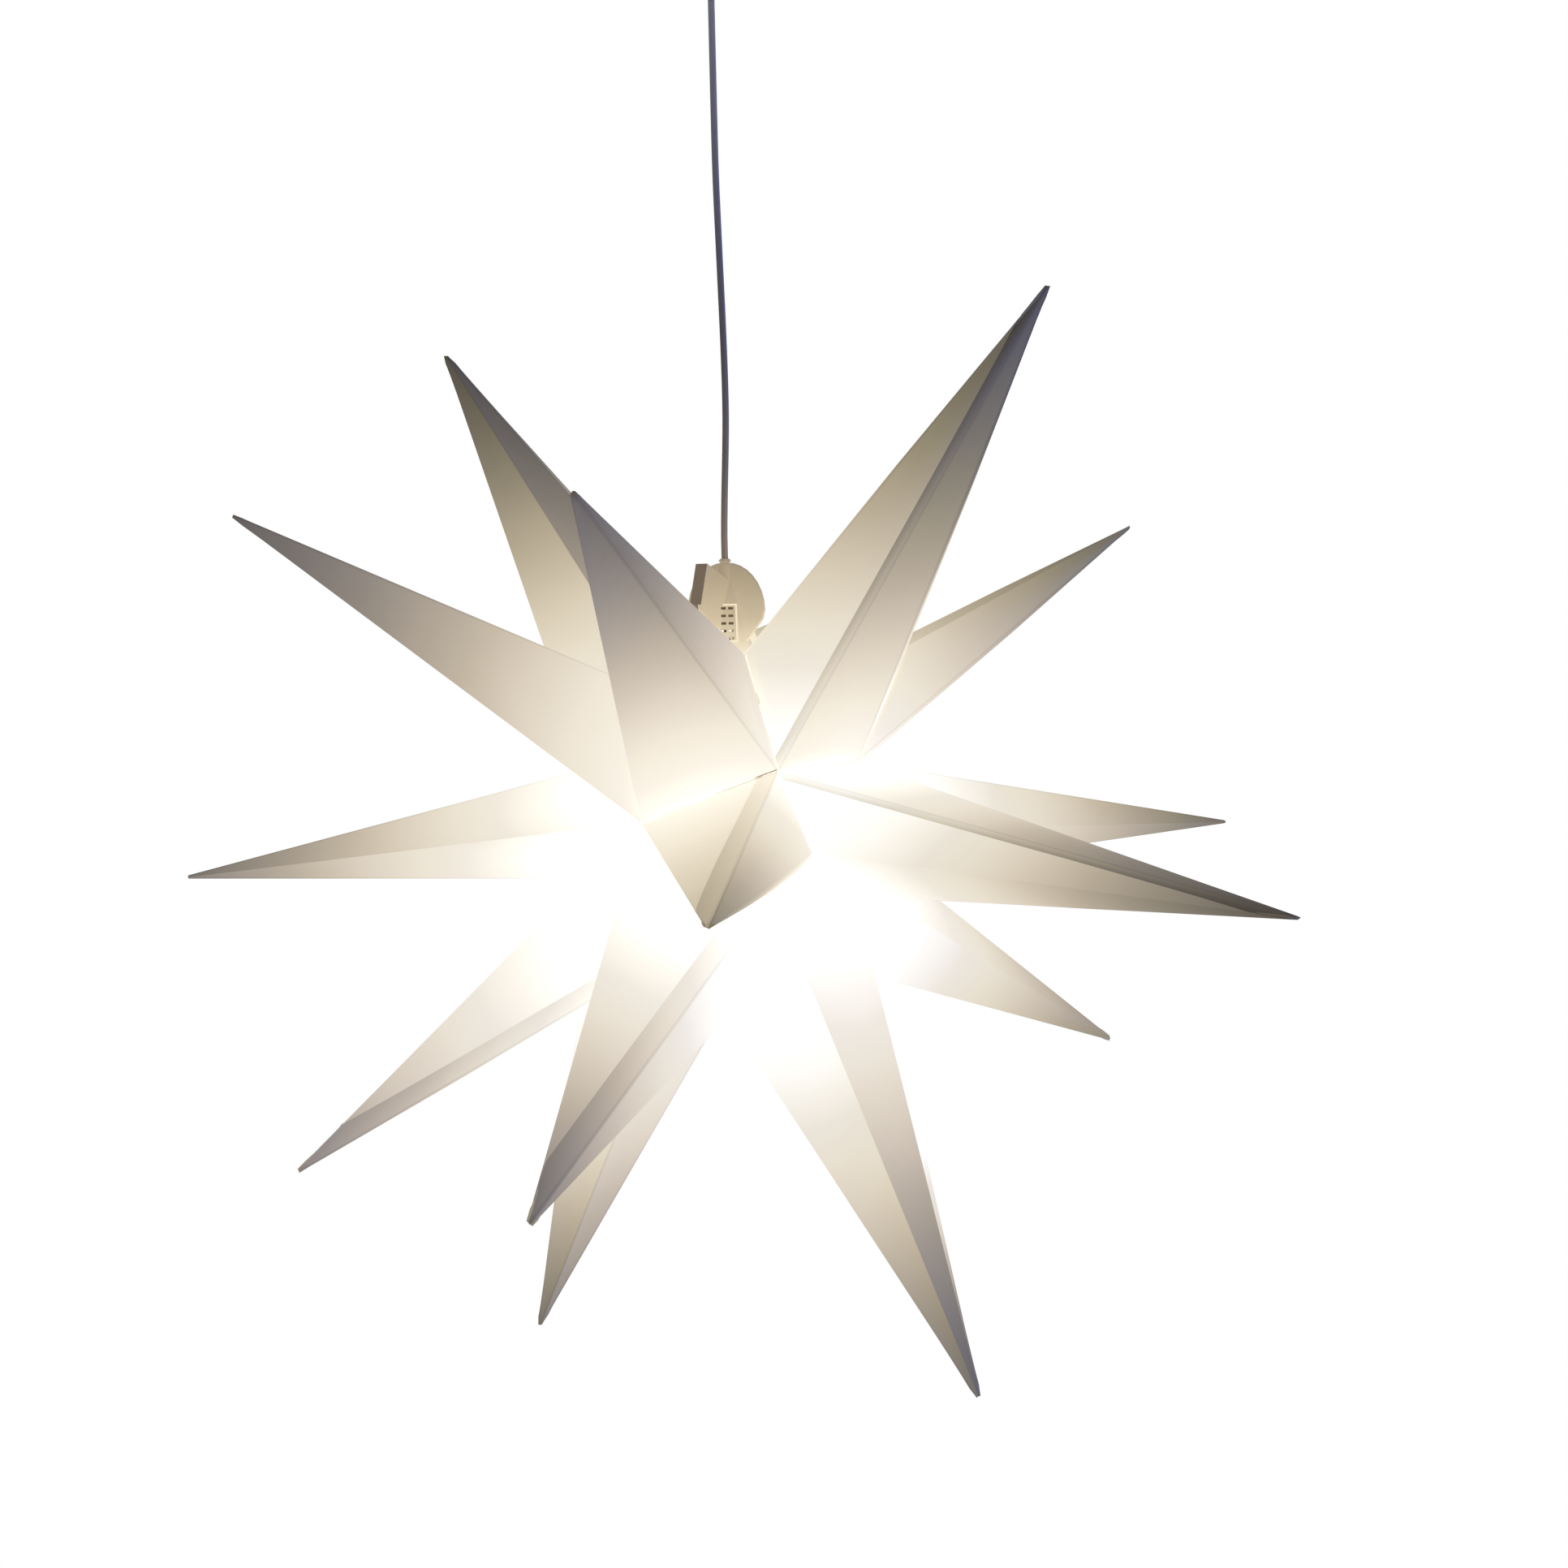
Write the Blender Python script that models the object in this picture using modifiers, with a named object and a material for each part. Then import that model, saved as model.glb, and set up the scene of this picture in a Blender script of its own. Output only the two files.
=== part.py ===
"""A lit Christmas star: an eighteen-point foil shade hung by its lamp cap from a thin cord and a ceiling cup.

Units are metres and +Z is up. The origin is the middle of the ceiling plate's top face. The shade is six
foil pockets set like a fan round a level fold axis that runs along Y. Each pocket has one rim point in the
XZ plane, one pole point leaning to the front (-Y) and one leaning to the back (+Y). The fan's two ends part
at the top, and the lamp cap hangs in that mouth.
"""
import math

import bmesh
import bpy
from mathutils import Matrix, Vector

# Whole star
STAR_DROP = 0.415
POCKETS = 6
RIM_REACH = 0.280
POLE_REACH = 0.247
POLE_TILT = math.radians(38.5)
END_SPREAD = math.radians(78)
MOUTH_ANGLE = math.radians(34)

# Corners where the points meet, from the star's centre: pole, valley and saddle
POLE_DEPTH = 0.0595
VALLEY_RADIUS = 0.0556
VALLEY_DEPTH = 0.0277
SADDLE_RADIUS = 0.0924
SADDLE_DEPTH = 0.0556

# Foil, its folds and its weld flaps
FOIL = 0.0004
FOLD_GAP = 0.0006
TIP_OPENING = 0.0030
FLAP_WIDTH = 0.0058
FLAP_CLEAR = 0.0030
FLAP_FOIL = 0.0005
FLAP_BITE = 0.0002
FLAP_INSET = 0.0012
FLAP_END = 0.0020

# How far each photographed tip is bent off its even place, as shares of its reach: sideways round the fan,
# outwards from the fold axis, and longer
BEND_SHARES = {
    "rim_point_1": (0.00, -0.01, -0.01),
    "front_point_1": (0.05, 0.04, 0.01),
    "back_point_1": (0.02, 0.02, 0.00),
    "rim_point_2": (-0.01, 0.01, 0.00),
    "front_point_2": (-0.01, 0.01, 0.00),
    "back_point_2": (-0.01, -0.03, -0.02),
    "rim_point_3": (0.00, 0.00, -0.01),
    "front_point_3": (-0.02, -0.02, 0.00),
    "back_point_3": (0.03, -0.02, 0.00),
    "rim_point_4": (0.05, -0.04, 0.02),
    "front_point_5": (0.02, 0.01, -0.03),
    "rim_point_6": (0.00, -0.01, 0.00),
    "front_point_6": (-0.03, 0.04, 0.03),
    "back_point_6": (0.00, -0.12, 0.00),
}

# Running room between pieces that touch
FIT = 0.0003
OVERRUN = 0.004

# Lamp cap: a bell with a square tower, two thin side wings and two thick hook fins. Its foot is above the
# star's centre, and every other height rises from what is under it
CAP_FOOT = 0.054
CAP_WALL = 0.0014
FLANGE_HEIGHT = 0.0016
SKIRT_RADIUS = 0.0162
SKIRT_RISE = 0.0046
SKIRT_HEIGHT = CAP_FOOT + SKIRT_RISE
SHOULDER_RADIUS = 0.0104
SHOULDER_RISE = 0.0114
SHOULDER_HEIGHT = SKIRT_HEIGHT + SHOULDER_RISE
WAIST_RADIUS = 0.0058
WAIST_RISE = 0.0065
WAIST_HEIGHT = SHOULDER_HEIGHT + WAIST_RISE
TOWER_FOOT_SIDE = 0.0096
TOWER_SIDE = 0.0092
TOWER_RISE = 0.0055
TOWER_SHOULDER = SHOULDER_HEIGHT + TOWER_RISE
TOWER_BORE = 0.0068
TOWER_TOP_SIDE = 0.0056
TOWER_TOP_BORE = TOWER_TOP_SIDE - CAP_WALL
TOWER_LENGTH = 0.0195
TOWER_TOP = TOWER_SHOULDER + TOWER_LENGTH
TOWER_PEAK_SIDE = 0.0030
TOWER_CROWN = 0.0085
TOWER_PEAK = TOWER_TOP + TOWER_CROWN
NECK_RADIUS = 0.0035
NECK_RISE = 0.0025
NECK_FOOT = TOWER_TOP + NECK_RISE
NECK_LENGTH = 0.0130
NECK_TOP = NECK_FOOT + NECK_LENGTH
GLAND_RADIUS = 0.0025
WING_CREST = 0.0010
CAP_TOP = NECK_TOP + WING_CREST
WING_THICKNESS = 0.0016
WING_REACH = 0.0223
WING_DROP = 0.0215
WING_WAIST = CAP_TOP - WING_DROP
WING_CORNER_REACH = 0.0211
WING_CORNER_DROP = 0.0040
WING_CORNER = WING_WAIST - WING_CORNER_DROP
WING_RISE = 0.0030
WING_FOOT = SHOULDER_HEIGHT + WING_RISE
WING_STEPS = 8
FIN_THICKNESS = 0.0067
FIN_ROOT_REACH = 0.006
FIN_ROOT_RISE = 0.0060
FIN_ROOT = SHOULDER_HEIGHT + FIN_ROOT_RISE
FIN_FOOT_REACH = 0.0206
FIN_FOOT_RISE = 0.0170
FIN_FOOT = FIN_ROOT + FIN_FOOT_RISE
FIN_TOP_REACH = 0.0158
FIN_LENGTH = 0.0180
FIN_OUTER_TOP = FIN_FOOT + FIN_LENGTH
FIN_FALL = 0.0065
BACK_FIN_CUT = 0.0105
FIN_INNER_TOP = FIN_OUTER_TOP - FIN_FALL
FIN_LIP_REACH = 0.0226
FIN_LIP_HEIGHT = 0.0026
FIN_HEEL_REACH = 0.0200
SLOT_WIDTH = 0.0018
SLOT_INNER = 0.0130
SLOT_OUTER = 0.0182
SLOT_COVER = 0.0055
SLOT_ROOF = FIN_INNER_TOP - SLOT_COVER
PEG_RADIUS = 0.0010
PEG_REACH = 0.0156
PEG_DROP = 0.0050
PEG_HEIGHT = SLOT_ROOF - PEG_DROP
VENT_RISE = 0.0090
VENT_MIDDLE = TOWER_SHOULDER + VENT_RISE
VENT_ROWS = 5
VENT_COLUMNS = 2
VENT_WIDTH = 0.0023
VENT_HEIGHT = 0.0014
VENT_BAR = 0.0010
VENT_PITCH = 0.0034
VENT_DEPTH = 0.0030
VENT_FRAME_WIDTH = 0.0088
VENT_FRAME_HEIGHT = 0.0172
VENT_RIM = 0.0005
VENT_RIM_ROOT = 0.0004
VENT_RIM_WIDTH = 0.0008

# Lampholder for a small screw bulb
SLEEVE_RADIUS = 0.0132
SLEEVE_TUBE_RADIUS = 0.0110
SLEEVE_STEP = 0.0455
SLEEVE_CHAMFER = 0.0015
SLEEVE_FOOT = 0.028
SLEEVE_BORE = 0.00805
SLEEVE_FLOOR = 0.054
SLEEVE_BOSS_RADIUS = 0.0095
SLEEVE_TOP = 0.062
SLEEVE_FLANGE_RADIUS = 0.0142
SLEEVE_FLANGE_HEIGHT = 0.0015
RING_RADIUS = 0.0152
RING_HEIGHT = 0.0056
RING_FLUTES = 12
RING_FLUTE_RADIUS = 0.0009
SHELL_RADIUS = 0.00725
SHELL_WALL = 0.0005
SHELL_FOOT = 0.030
SHELL_TOP = 0.050
TONGUE_WIDTH = 0.0040
TONGUE_THICKNESS = 0.0004
TONGUE_LENGTH = 0.0110
TONGUE_DIP = 0.0009
TERMINAL_LENGTH = 0.012
TERMINAL_WIDTH = 0.008
TERMINAL_HEIGHT = 0.007
TERMINAL_SPACING = 0.007
TERMINAL_SCREW_RADIUS = 0.0016
TERMINAL_SCREW_HEIGHT = 0.0014
TERMINAL_OFFSET = 0.0018

# Hanger tabs that join the shade's two ends to the hook fins
TAB_FOIL = 0.0004
TAB_WIDTH = 0.0044
TAB_HEAD = 0.0030
TAB_TOP = PEG_HEIGHT + TAB_HEAD
TAB_DROP = 0.0125
TAB_BEND = PEG_HEIGHT - TAB_DROP
TAB_HOLE_ROOM = 0.0004

# Small screw bulb
BASE_RADIUS = 0.00695
BASE_WALL = 0.0006
BASE_TOP = 0.0496
BASE_TAPER = 0.0022
BASE_MOUTH = 0.0036
BULB_SHOULDER = 0.028
INSULATOR_RADIUS = 0.0046
INSULATOR_TOP_RADIUS = 0.0028
INSULATOR_HEIGHT = 0.0013
CONTACT_RADIUS = 0.0019
CONTACT_HEIGHT = 0.0006
HEATSINK_NECK = 0.0079
HEATSINK_WAIST_RADIUS = 0.0128
HEATSINK_WAIST = 0.0195
HEATSINK_RADIUS = 0.0170
HEATSINK_FOOT = 0.0085
HEATSINK_WALL = 0.0012
HEATSINK_BAND = 0.0018
GLOBE_RADIUS = 0.0225
GLOBE_CENTRE = -0.0067
GLOBE_WALL = 0.0012
GLOBE_STEPS = 12
BOARD_THICKNESS = 0.0011
CHIP_SIZE = 0.0028
CHIP_HEIGHT = 0.0007
CHIP_COUNT = 8
CHIP_REACH = 0.0095
DRIVER_WIDTH = 0.0112
DRIVER_THICKNESS = 0.0012
DRIVER_TOP = 0.040
CAPACITOR_RADIUS = 0.0020
CAPACITOR_HEIGHT = 0.0070
CAPACITOR_FOOT = 0.0030

# Cord, its relief, its wedge in the cap and its two cores
CORD_RADIUS = 0.0015
CORD_STEP = 0.0075
RELIEF_RADIUS = 0.0027
RELIEF_TOP_RADIUS = 0.0021
RELIEF_COLLAR = 0.0005
RELIEF_HEIGHT = 0.0014
RELIEF_STEM = 0.0060
WEDGE_RISE = 0.0075
WEDGE_FOOT = TOWER_SHOULDER + WEDGE_RISE
WEDGE_HEIGHT = 0.0095
TAIL_DROP = 0.0015
TAIL_FOOT = WEDGE_FOOT - TAIL_DROP
CORE_RADIUS = 0.00055
CORE_SPACING = 0.0018
CORE_STEP = 0.0015

# The free cord's own route, from the cap up to the ceiling plate, chosen by hand
CORD_ROUTE = (
    (0, 0, -0.3032),
    (0, 0, -0.2920),
    (0.0004, 0.0003, -0.2760),
    (0.0015, 0.0012, -0.2400),
    (0.0014, 0.0011, -0.2080),
    (0.0007, 0.0006, -0.1700),
    (0.0001, 0.0001, -0.1350),
    (0, 0, -0.1100),
    (0, 0, -0.0800),
    (0, 0, -0.0500),
    (0, 0, -0.0250),
    (0, 0, -0.0065),
)

# Ceiling fitting
PLATE_RADIUS = 0.0250
PLATE_THICKNESS = 0.0030
PLATE_BOSS_RADIUS = 0.0050
PLATE_BOSS_FOOT = 0.0120
PLATE_CORD_TOP = 0.0062
PLATE_HOLE_RADIUS = 0.0020
PLATE_HOLE_REACH = 0.0170
CUP_RADIUS = 0.0270
CUP_WALL = 0.0015
CUP_FLARE = 0.0008
CUP_BAND = 0.0120
CUP_DEPTH = 0.0250
CUP_FLOOR_RADIUS = 0.0080
CUP_STEPS = 7
GRIP_FLANGE_RADIUS = 0.0062
GRIP_FLANGE_HEIGHT = 0.0038
GRIP_STEM_RADIUS = 0.0040
GRIP_STEM_END = 0.0012
GRIP_NOSE_RADIUS = 0.0030
GRIP_NOSE_HEIGHT = 0.0016
NUT_RADIUS = 0.0068
NUT_HEIGHT = 0.0026
GRUB_RADIUS = 0.0010

# Facets round a turned piece
ROUND = 32
SMALL_ROUND = 20
TINY_ROUND = 12


def clear_scene():
    """Removes the objects that the scene starts with."""
    for found in list(bpy.data.objects):
        bpy.data.objects.remove(found)


def collection(name):
    made = bpy.data.collections.new(name)
    bpy.context.scene.collection.children.link(made)
    return made


def material(name, colour, roughness, metallic=0.0, alpha=1.0):
    made = bpy.data.materials.new(name)
    made.use_nodes = True
    shader = made.node_tree.nodes["Principled BSDF"]
    shader.inputs["Base Color"].default_value = (*colour, 1.0)
    shader.inputs["Roughness"].default_value = roughness
    shader.inputs["Metallic"].default_value = metallic
    shader.inputs["Alpha"].default_value = alpha
    made.diffuse_color = (*colour, alpha)
    return made


def add_object(name, data, finish, group="star"):
    made = bpy.data.objects.new(name, data)
    GROUPS[group].objects.link(made)
    if finish is not None:
        data.materials.append(finish)
    if group == "cutters":
        made.hide_render = True
        made.display_type = "WIRE"
    return made


def in_star(made):
    """Sets a piece that is drawn about the star's centre down at its place under the ceiling."""
    made.location.z = -STAR_DROP
    return made


def mesh_from(bm, name):
    bmesh.ops.recalc_face_normals(bm, faces=bm.faces)
    bmesh.ops.triangulate(bm, faces=bm.faces)
    data = bpy.data.meshes.new(name)
    bm.to_mesh(data)
    bm.free()
    return data


def boolean(target, tool, operation):
    """Cuts or joins target with tool, which is kept as a hidden cutter."""
    if not any(step.type == "TRIANGULATE" for step in target.modifiers):
        target.modifiers.new("triangles", "TRIANGULATE")
    step = target.modifiers.new(f"{operation.lower()} {tool.name}", "BOOLEAN")
    step.operation = operation
    step.object = tool


def turned(name, profile, finish, steps=ROUND, closed=False, height=-STAR_DROP, group="star"):
    """Turns a profile of (radius, height) points, given down its outer side, about the Z axis."""
    data = bpy.data.meshes.new(name)
    edges = [(i, i + 1) for i in range(len(profile) - 1)]
    if closed:
        edges.append((len(profile) - 1, 0))
    data.from_pydata([(radius, 0, z) for radius, z in profile], edges, [])
    made = add_object(name, data, finish, group)
    made.location.z = height
    screw = made.modifiers.new("turn", "SCREW")
    screw.steps = steps
    screw.render_steps = steps
    screw.use_merge_vertices = True
    screw.merge_threshold = 1e-6
    return made


def block(name, size, centre, finish, group="star"):
    """A box of a given size about a centre."""
    bm = bmesh.new()
    bmesh.ops.create_cube(bm, size=1)
    bmesh.ops.scale(bm, vec=size, verts=bm.verts)
    bmesh.ops.translate(bm, vec=centre, verts=bm.verts)
    return in_star(add_object(name, mesh_from(bm, name), finish, group))


def rod(bm, radius, length, centre, axis, sides):
    """Adds a closed cylinder to a bmesh, centred on a point and lying along an axis."""
    turn = Vector((0, 0, 1)).rotation_difference(Vector(axis)).to_matrix().to_4x4()
    bmesh.ops.create_cone(bm, cap_ends=True, segments=sides, radius1=radius, radius2=radius, depth=length,
                          matrix=Matrix.Translation(centre) @ turn)


def plate(name, outline, thickness, normal):
    """A flat plate: a polygon of points, thickened evenly to both sides along its normal."""
    bm = bmesh.new()
    face = bm.faces.new([bm.verts.new(point) for point in outline])
    half = Vector(normal) * (thickness / 2)
    bmesh.ops.translate(bm, vec=-half, verts=face.verts)
    grown = bmesh.ops.extrude_face_region(bm, geom=[face])
    moved = [item for item in grown["geom"] if isinstance(item, bmesh.types.BMVert)]
    bmesh.ops.translate(bm, vec=half * 2, verts=moved)
    return in_star(add_object(name, mesh_from(bm, name), None, "cutters"))


def wire(name, points, radius, finish, resolution=2):
    """A round wire or cord along a row of points, with filled ends."""
    curve = bpy.data.curves.new(name, "CURVE")
    curve.dimensions = "3D"
    curve.bevel_depth = radius
    curve.bevel_resolution = resolution
    curve.use_fill_caps = True
    spline = curve.splines.new("POLY")
    spline.points.add(len(points) - 1)
    for place, point in zip(spline.points, points):
        place.co = (*point, 1)
    return add_object(name, curve, finish)


def smooth_route(route, step):
    """Reads points at even steps along a smooth curve through the points of a route."""
    ends = [Vector(point) for point in route]
    rail = [ends[0]] + ends + [ends[-1]]
    line = []
    for before, start, end, after in zip(rail, rail[1:], rail[2:], rail[3:]):
        count = max(1, round((end - start).length / step))
        for i in range(count):
            t = i / count
            line.append(0.5 * (2 * start + (end - before) * t
                               + (2 * before - 5 * start + 4 * end - after) * t ** 2
                               + (3 * start - before - 3 * end + after) * t ** 3))
    return line + [ends[-1]]


def ring_place(angle, radius, depth):
    """A point round the fold axis: angle is turned from +X towards +Z, depth is along Y."""
    return Vector((radius * math.cos(angle), depth, radius * math.sin(angle)))


def pocket_angle(pocket):
    """Where a pocket's rim point lies round the fan, clockwise from the mouth as seen from the front."""
    step = (2 * math.pi - END_SPREAD) / (POCKETS - 1)
    return math.pi / 2 - END_SPREAD / 2 - step * pocket


def valley_angle(edge):
    """Where the valley before a pocket lies. Edges 0 and POCKETS are the fan's two free ends."""
    if edge == 0:
        return math.pi / 2 - MOUTH_ANGLE / 2
    if edge == POCKETS:
        return math.pi / 2 + MOUTH_ANGLE / 2 - 2 * math.pi
    return (pocket_angle(edge - 1) + pocket_angle(edge)) / 2


def valley(edge, side):
    return ring_place(valley_angle(edge), VALLEY_RADIUS, side * VALLEY_DEPTH)


def saddle(pocket, side):
    return ring_place(pocket_angle(pocket), SADDLE_RADIUS, side * SADDLE_DEPTH)


def pole(side):
    return Vector((0, side * POLE_DEPTH, 0))


def tip_of(name, pocket, side):
    """A point's tip, with its photographed bend. Side is -1 for the front, 0 for the rim, 1 for the back."""
    outward = ring_place(pocket_angle(pocket), 1, 0)
    sideways = Vector((-outward.z, 0, outward.x))
    if side == 0:
        along, tilted, reach = outward, Vector((0, 1, 0)), RIM_REACH
    else:
        axis = Vector((0, side, 0))
        along = math.sin(POLE_TILT) * outward + math.cos(POLE_TILT) * axis
        tilted = math.cos(POLE_TILT) * outward - math.sin(POLE_TILT) * axis
        reach = POLE_REACH
    bent_sideways, bent_out, longer = BEND_SHARES.get(name, (0, 0, 0))
    return (along * (1 + longer) + sideways * bent_sideways + tilted * bent_out) * reach


def skin(name, tip, corners):
    """The open outer skin of one point: a sleeve of flat facets from its base corners to its blunt tip."""
    bm = bmesh.new()
    centre = sum(corners, Vector()) / len(corners)
    spread = max((corner - centre).length for corner in corners)
    short = TIP_OPENING * (tip - centre).length / (2 * spread)
    rings = []
    for corner in corners:
        edge = tip - corner
        away = edge.normalized()
        rings.append((bm.verts.new(corner + away * FOLD_GAP), bm.verts.new(tip - away * short)))
    for (low, high), (next_low, next_high) in zip(rings, rings[1:] + rings[:1]):
        bm.faces.new((low, next_low, next_high, high))
    return mesh_from_open(bm, name, tip, centre)


def mesh_from_open(bm, name, tip, centre):
    """Writes an open skin whose facets face away from the line between its base and its tip."""
    middle = (tip + centre) / 2
    bm.normal_update()
    for facet in bm.faces:
        if facet.normal.dot(facet.calc_center_median() - middle) < 0:
            facet.normal_flip()
    data = bpy.data.meshes.new(name)
    bm.to_mesh(data)
    bm.free()
    return data


def weld_flap(bm, tip, crease, other, inside):
    """Adds one weld flap: the doubled strip of foil on the facet tip-crease-other, beside its crease."""
    along = (crease - tip).normalized()
    other_run = (other - tip).dot(along)
    across = (other - tip) - along * other_run
    slope = across.length / other_run
    base_slope = (other_run - (crease - tip).length) / across.length
    across.normalize()
    inwards = along.cross(across)
    if inwards.dot(inside - tip) < 0:
        inwards.negate()
    end = (crease - tip).length - FOLD_GAP - FLAP_END
    outer = FLAP_INSET + FLAP_WIDTH
    full = (outer + FLAP_CLEAR) / slope
    outline = [(full - FLAP_WIDTH, FLAP_INSET), (end + base_slope * FLAP_INSET, FLAP_INSET),
               (end + base_slope * outer, outer), (full, outer)]
    top = [tip + along * run + across * side + inwards * FLAP_BITE for run, side in outline]
    face = bm.faces.new([bm.verts.new(point) for point in top])
    grown = bmesh.ops.extrude_face_region(bm, geom=[face])
    moved = [item for item in grown["geom"] if isinstance(item, bmesh.types.BMVert)]
    bmesh.ops.translate(bm, vec=inwards * (FOIL + FLAP_FOIL - FLAP_BITE), verts=moved)


def foil_point(name, tip, corners, creases, finish):
    """One hollow point of thin foil with its flaps. Creases pairs a welded corner with its flap's side."""
    made = in_star(add_object(name, skin(name, tip, corners), finish))
    wall = made.modifiers.new("foil", "SOLIDIFY")
    wall.thickness = FOIL
    wall.offset = -1
    wall.use_even_offset = True
    bm = bmesh.new()
    inside = sum(corners, Vector()) / len(corners)
    for crease, other in creases:
        weld_flap(bm, tip, crease, other, inside)
    flaps = in_star(add_object(name + "_flaps", mesh_from(bm, name + "_flaps"), None, "cutters"))
    boolean(made, flaps, "UNION")
    return made


def build_shade(foil):
    """The eighteen points. A pole point has four base corners and a rim point has six."""
    for pocket in range(POCKETS):
        before, after = pocket, pocket + 1
        for side, word in ((-1, "front"), (1, "back")):
            name = f"{word}_point_{pocket + 1}"
            corners = [pole(side), valley(before, side), saddle(pocket, side), valley(after, side)]
            flap_side = saddle(pocket, side) if pocket == 0 else pole(side)
            creases = [(valley(before, side), flap_side), (valley(after, side), flap_side)]
            foil_point(name, tip_of(name, pocket, side), corners, creases, foil)
        name = f"rim_point_{pocket + 1}"
        corners = [saddle(pocket, -1), valley(before, -1), valley(before, 1),
                   saddle(pocket, 1), valley(after, 1), valley(after, -1)]
        creases = [(valley(edge, side), saddle(pocket, side)) for edge in (before, after) for side in (-1, 1)]
        foil_point(name, tip_of(name, pocket, 0), corners, creases, foil)


def build_tabs(foil):
    """Four die-cut tabs, two in front and two behind, from the fan's end edges up to the fins' pegs."""
    mouth = VALLEY_RADIUS * math.sin(MOUTH_ANGLE / 2)
    foot = VALLEY_RADIUS * math.cos(MOUTH_ANGLE / 2)
    lean = math.atan2(mouth, TAB_BEND - foot)
    inner = TAB_FOIL + FIT / 2
    rail = [(inner, TAB_TOP), (inner, TAB_BEND),
            (mouth - FIT * math.sin(lean), foot + (FIT + TAB_FOIL) * math.cos(lean))]
    for side, word in ((-1, "front"), (1, "back")):
        for hand, turn in ((1, "right"), (-1, "left")):
            name = f"hanger_tab_{word}_{turn}"
            strip = [(hand * x, z) for x, z in rail]
            made = sheet_strip(name, strip, side * PEG_REACH, TAB_WIDTH, TAB_FOIL, hand, foil)
            bm = bmesh.new()
            rod(bm, PEG_RADIUS + TAB_HOLE_ROOM, FIN_THICKNESS, (0, side * PEG_REACH, PEG_HEIGHT), (1, 0, 0),
                TINY_ROUND)
            boolean(made, in_star(add_object(name + "_hole", mesh_from(bm, name + "_hole"), None, "cutters")),
                    "DIFFERENCE")


def sheet_strip(name, rail, middle, width, thickness, hand, finish):
    """A bent strip of sheet: a rail of (x, z) points as wide as given along Y, thickened on one side."""
    bm = bmesh.new()
    rows = [[bm.verts.new((x, middle + across, z)) for x, z in rail] for across in (-width / 2, width / 2)]
    for i in range(len(rail) - 1):
        face = bm.faces.new((rows[0][i], rows[0][i + 1], rows[1][i + 1], rows[1][i]))
        face.normal_update()
        if hand and face.normal.x * hand < 0:
            face.normal_flip()
    data = bpy.data.meshes.new(name)
    bm.to_mesh(data)
    bm.free()
    made = in_star(add_object(name, data, finish))
    wall = made.modifiers.new("sheet", "SOLIDIFY")
    wall.thickness = thickness
    wall.offset = -1
    wall.use_even_offset = True
    return made


def wing_outline():
    """The side wings: a rounded top over the whole width, then a taper in to the bell."""
    half = []
    for i in range(1, WING_STEPS + 1):
        turn = math.pi / 2 * i / WING_STEPS
        half.append((WING_REACH * math.sin(turn), WING_WAIST + (CAP_TOP - WING_WAIST) * math.cos(turn)))
    half += [(WING_CORNER_REACH, WING_CORNER), (SHOULDER_RADIUS - CAP_WALL, WING_FOOT)]
    right = [(x, 0, z) for x, z in half]
    left = [(-x, 0, z) for x, z in reversed(half)]
    return [(0, 0, CAP_TOP)] + right + left


def fin_outline(side):
    """One hook fin, seen from the side, with a thumb lip at its outer foot. The back fin is cut lower."""
    share = BACK_FIN_CUT / FIN_LENGTH if side > 0 else 0
    outer_top = (FIN_TOP_REACH + (FIN_FOOT_REACH - FIN_TOP_REACH) * share, FIN_OUTER_TOP - FIN_LENGTH * share)
    run = [(0, FIN_INNER_TOP - NECK_RADIUS), (NECK_RADIUS, FIN_INNER_TOP), outer_top,
           (FIN_FOOT_REACH, FIN_FOOT), (FIN_LIP_REACH, FIN_FOOT),
           (FIN_LIP_REACH, FIN_FOOT - FIN_LIP_HEIGHT), (FIN_HEEL_REACH, FIN_FOOT - FIN_LIP_HEIGHT),
           (FIN_ROOT_REACH, FIN_ROOT), (0, FIN_ROOT)]
    return [(0, side * y, z) for y, z in run]


def tower_side(height):
    """How far the tower's flat sides stand from the axis at a height."""
    share = (height - TOWER_SHOULDER) / (TOWER_TOP - TOWER_SHOULDER)
    return TOWER_SIDE + (TOWER_TOP_SIDE - TOWER_SIDE) * share


def build_tower():
    """The cap's square, tapering tower: one flat vented side between each wing and fin."""
    rings = [(SHOULDER_HEIGHT, TOWER_FOOT_SIDE), (TOWER_SHOULDER, TOWER_SIDE), (TOWER_TOP, TOWER_TOP_SIDE),
             (TOWER_PEAK, TOWER_PEAK_SIDE)]
    bm = bmesh.new()
    rows = []
    for height, side in rings:
        corner = side * math.sqrt(2)
        rows.append([bm.verts.new(around(math.pi / 2 * i, corner, height)) for i in range(4)])
    for low, high in zip(rows, rows[1:]):
        for i in range(4):
            bm.faces.new((low[i - 1], low[i], high[i], high[i - 1]))
    bm.faces.new(rows[0])
    bm.faces.new(rows[-1])
    return in_star(add_object("cap_tower", mesh_from(bm, "cap_tower"), None, "cutters"))


def around(azimuth, radius, height):
    return Vector((radius * math.cos(azimuth), radius * math.sin(azimuth), height))


def panel_places():
    """A frame on each of the tower's four flat sides: X points out of the side and Z up along its slope."""
    slope = math.atan2(TOWER_SIDE - TOWER_TOP_SIDE, TOWER_TOP - TOWER_SHOULDER)
    places = []
    for quarter in range(4):
        azimuth = math.pi / 4 + math.pi / 2 * quarter
        lean = Matrix.Rotation(azimuth, 4, "Z") @ Matrix.Rotation(-slope, 4, "Y")
        places.append(Matrix.Translation(around(azimuth, tower_side(VENT_MIDDLE), VENT_MIDDLE)) @ lean)
    return places


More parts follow.
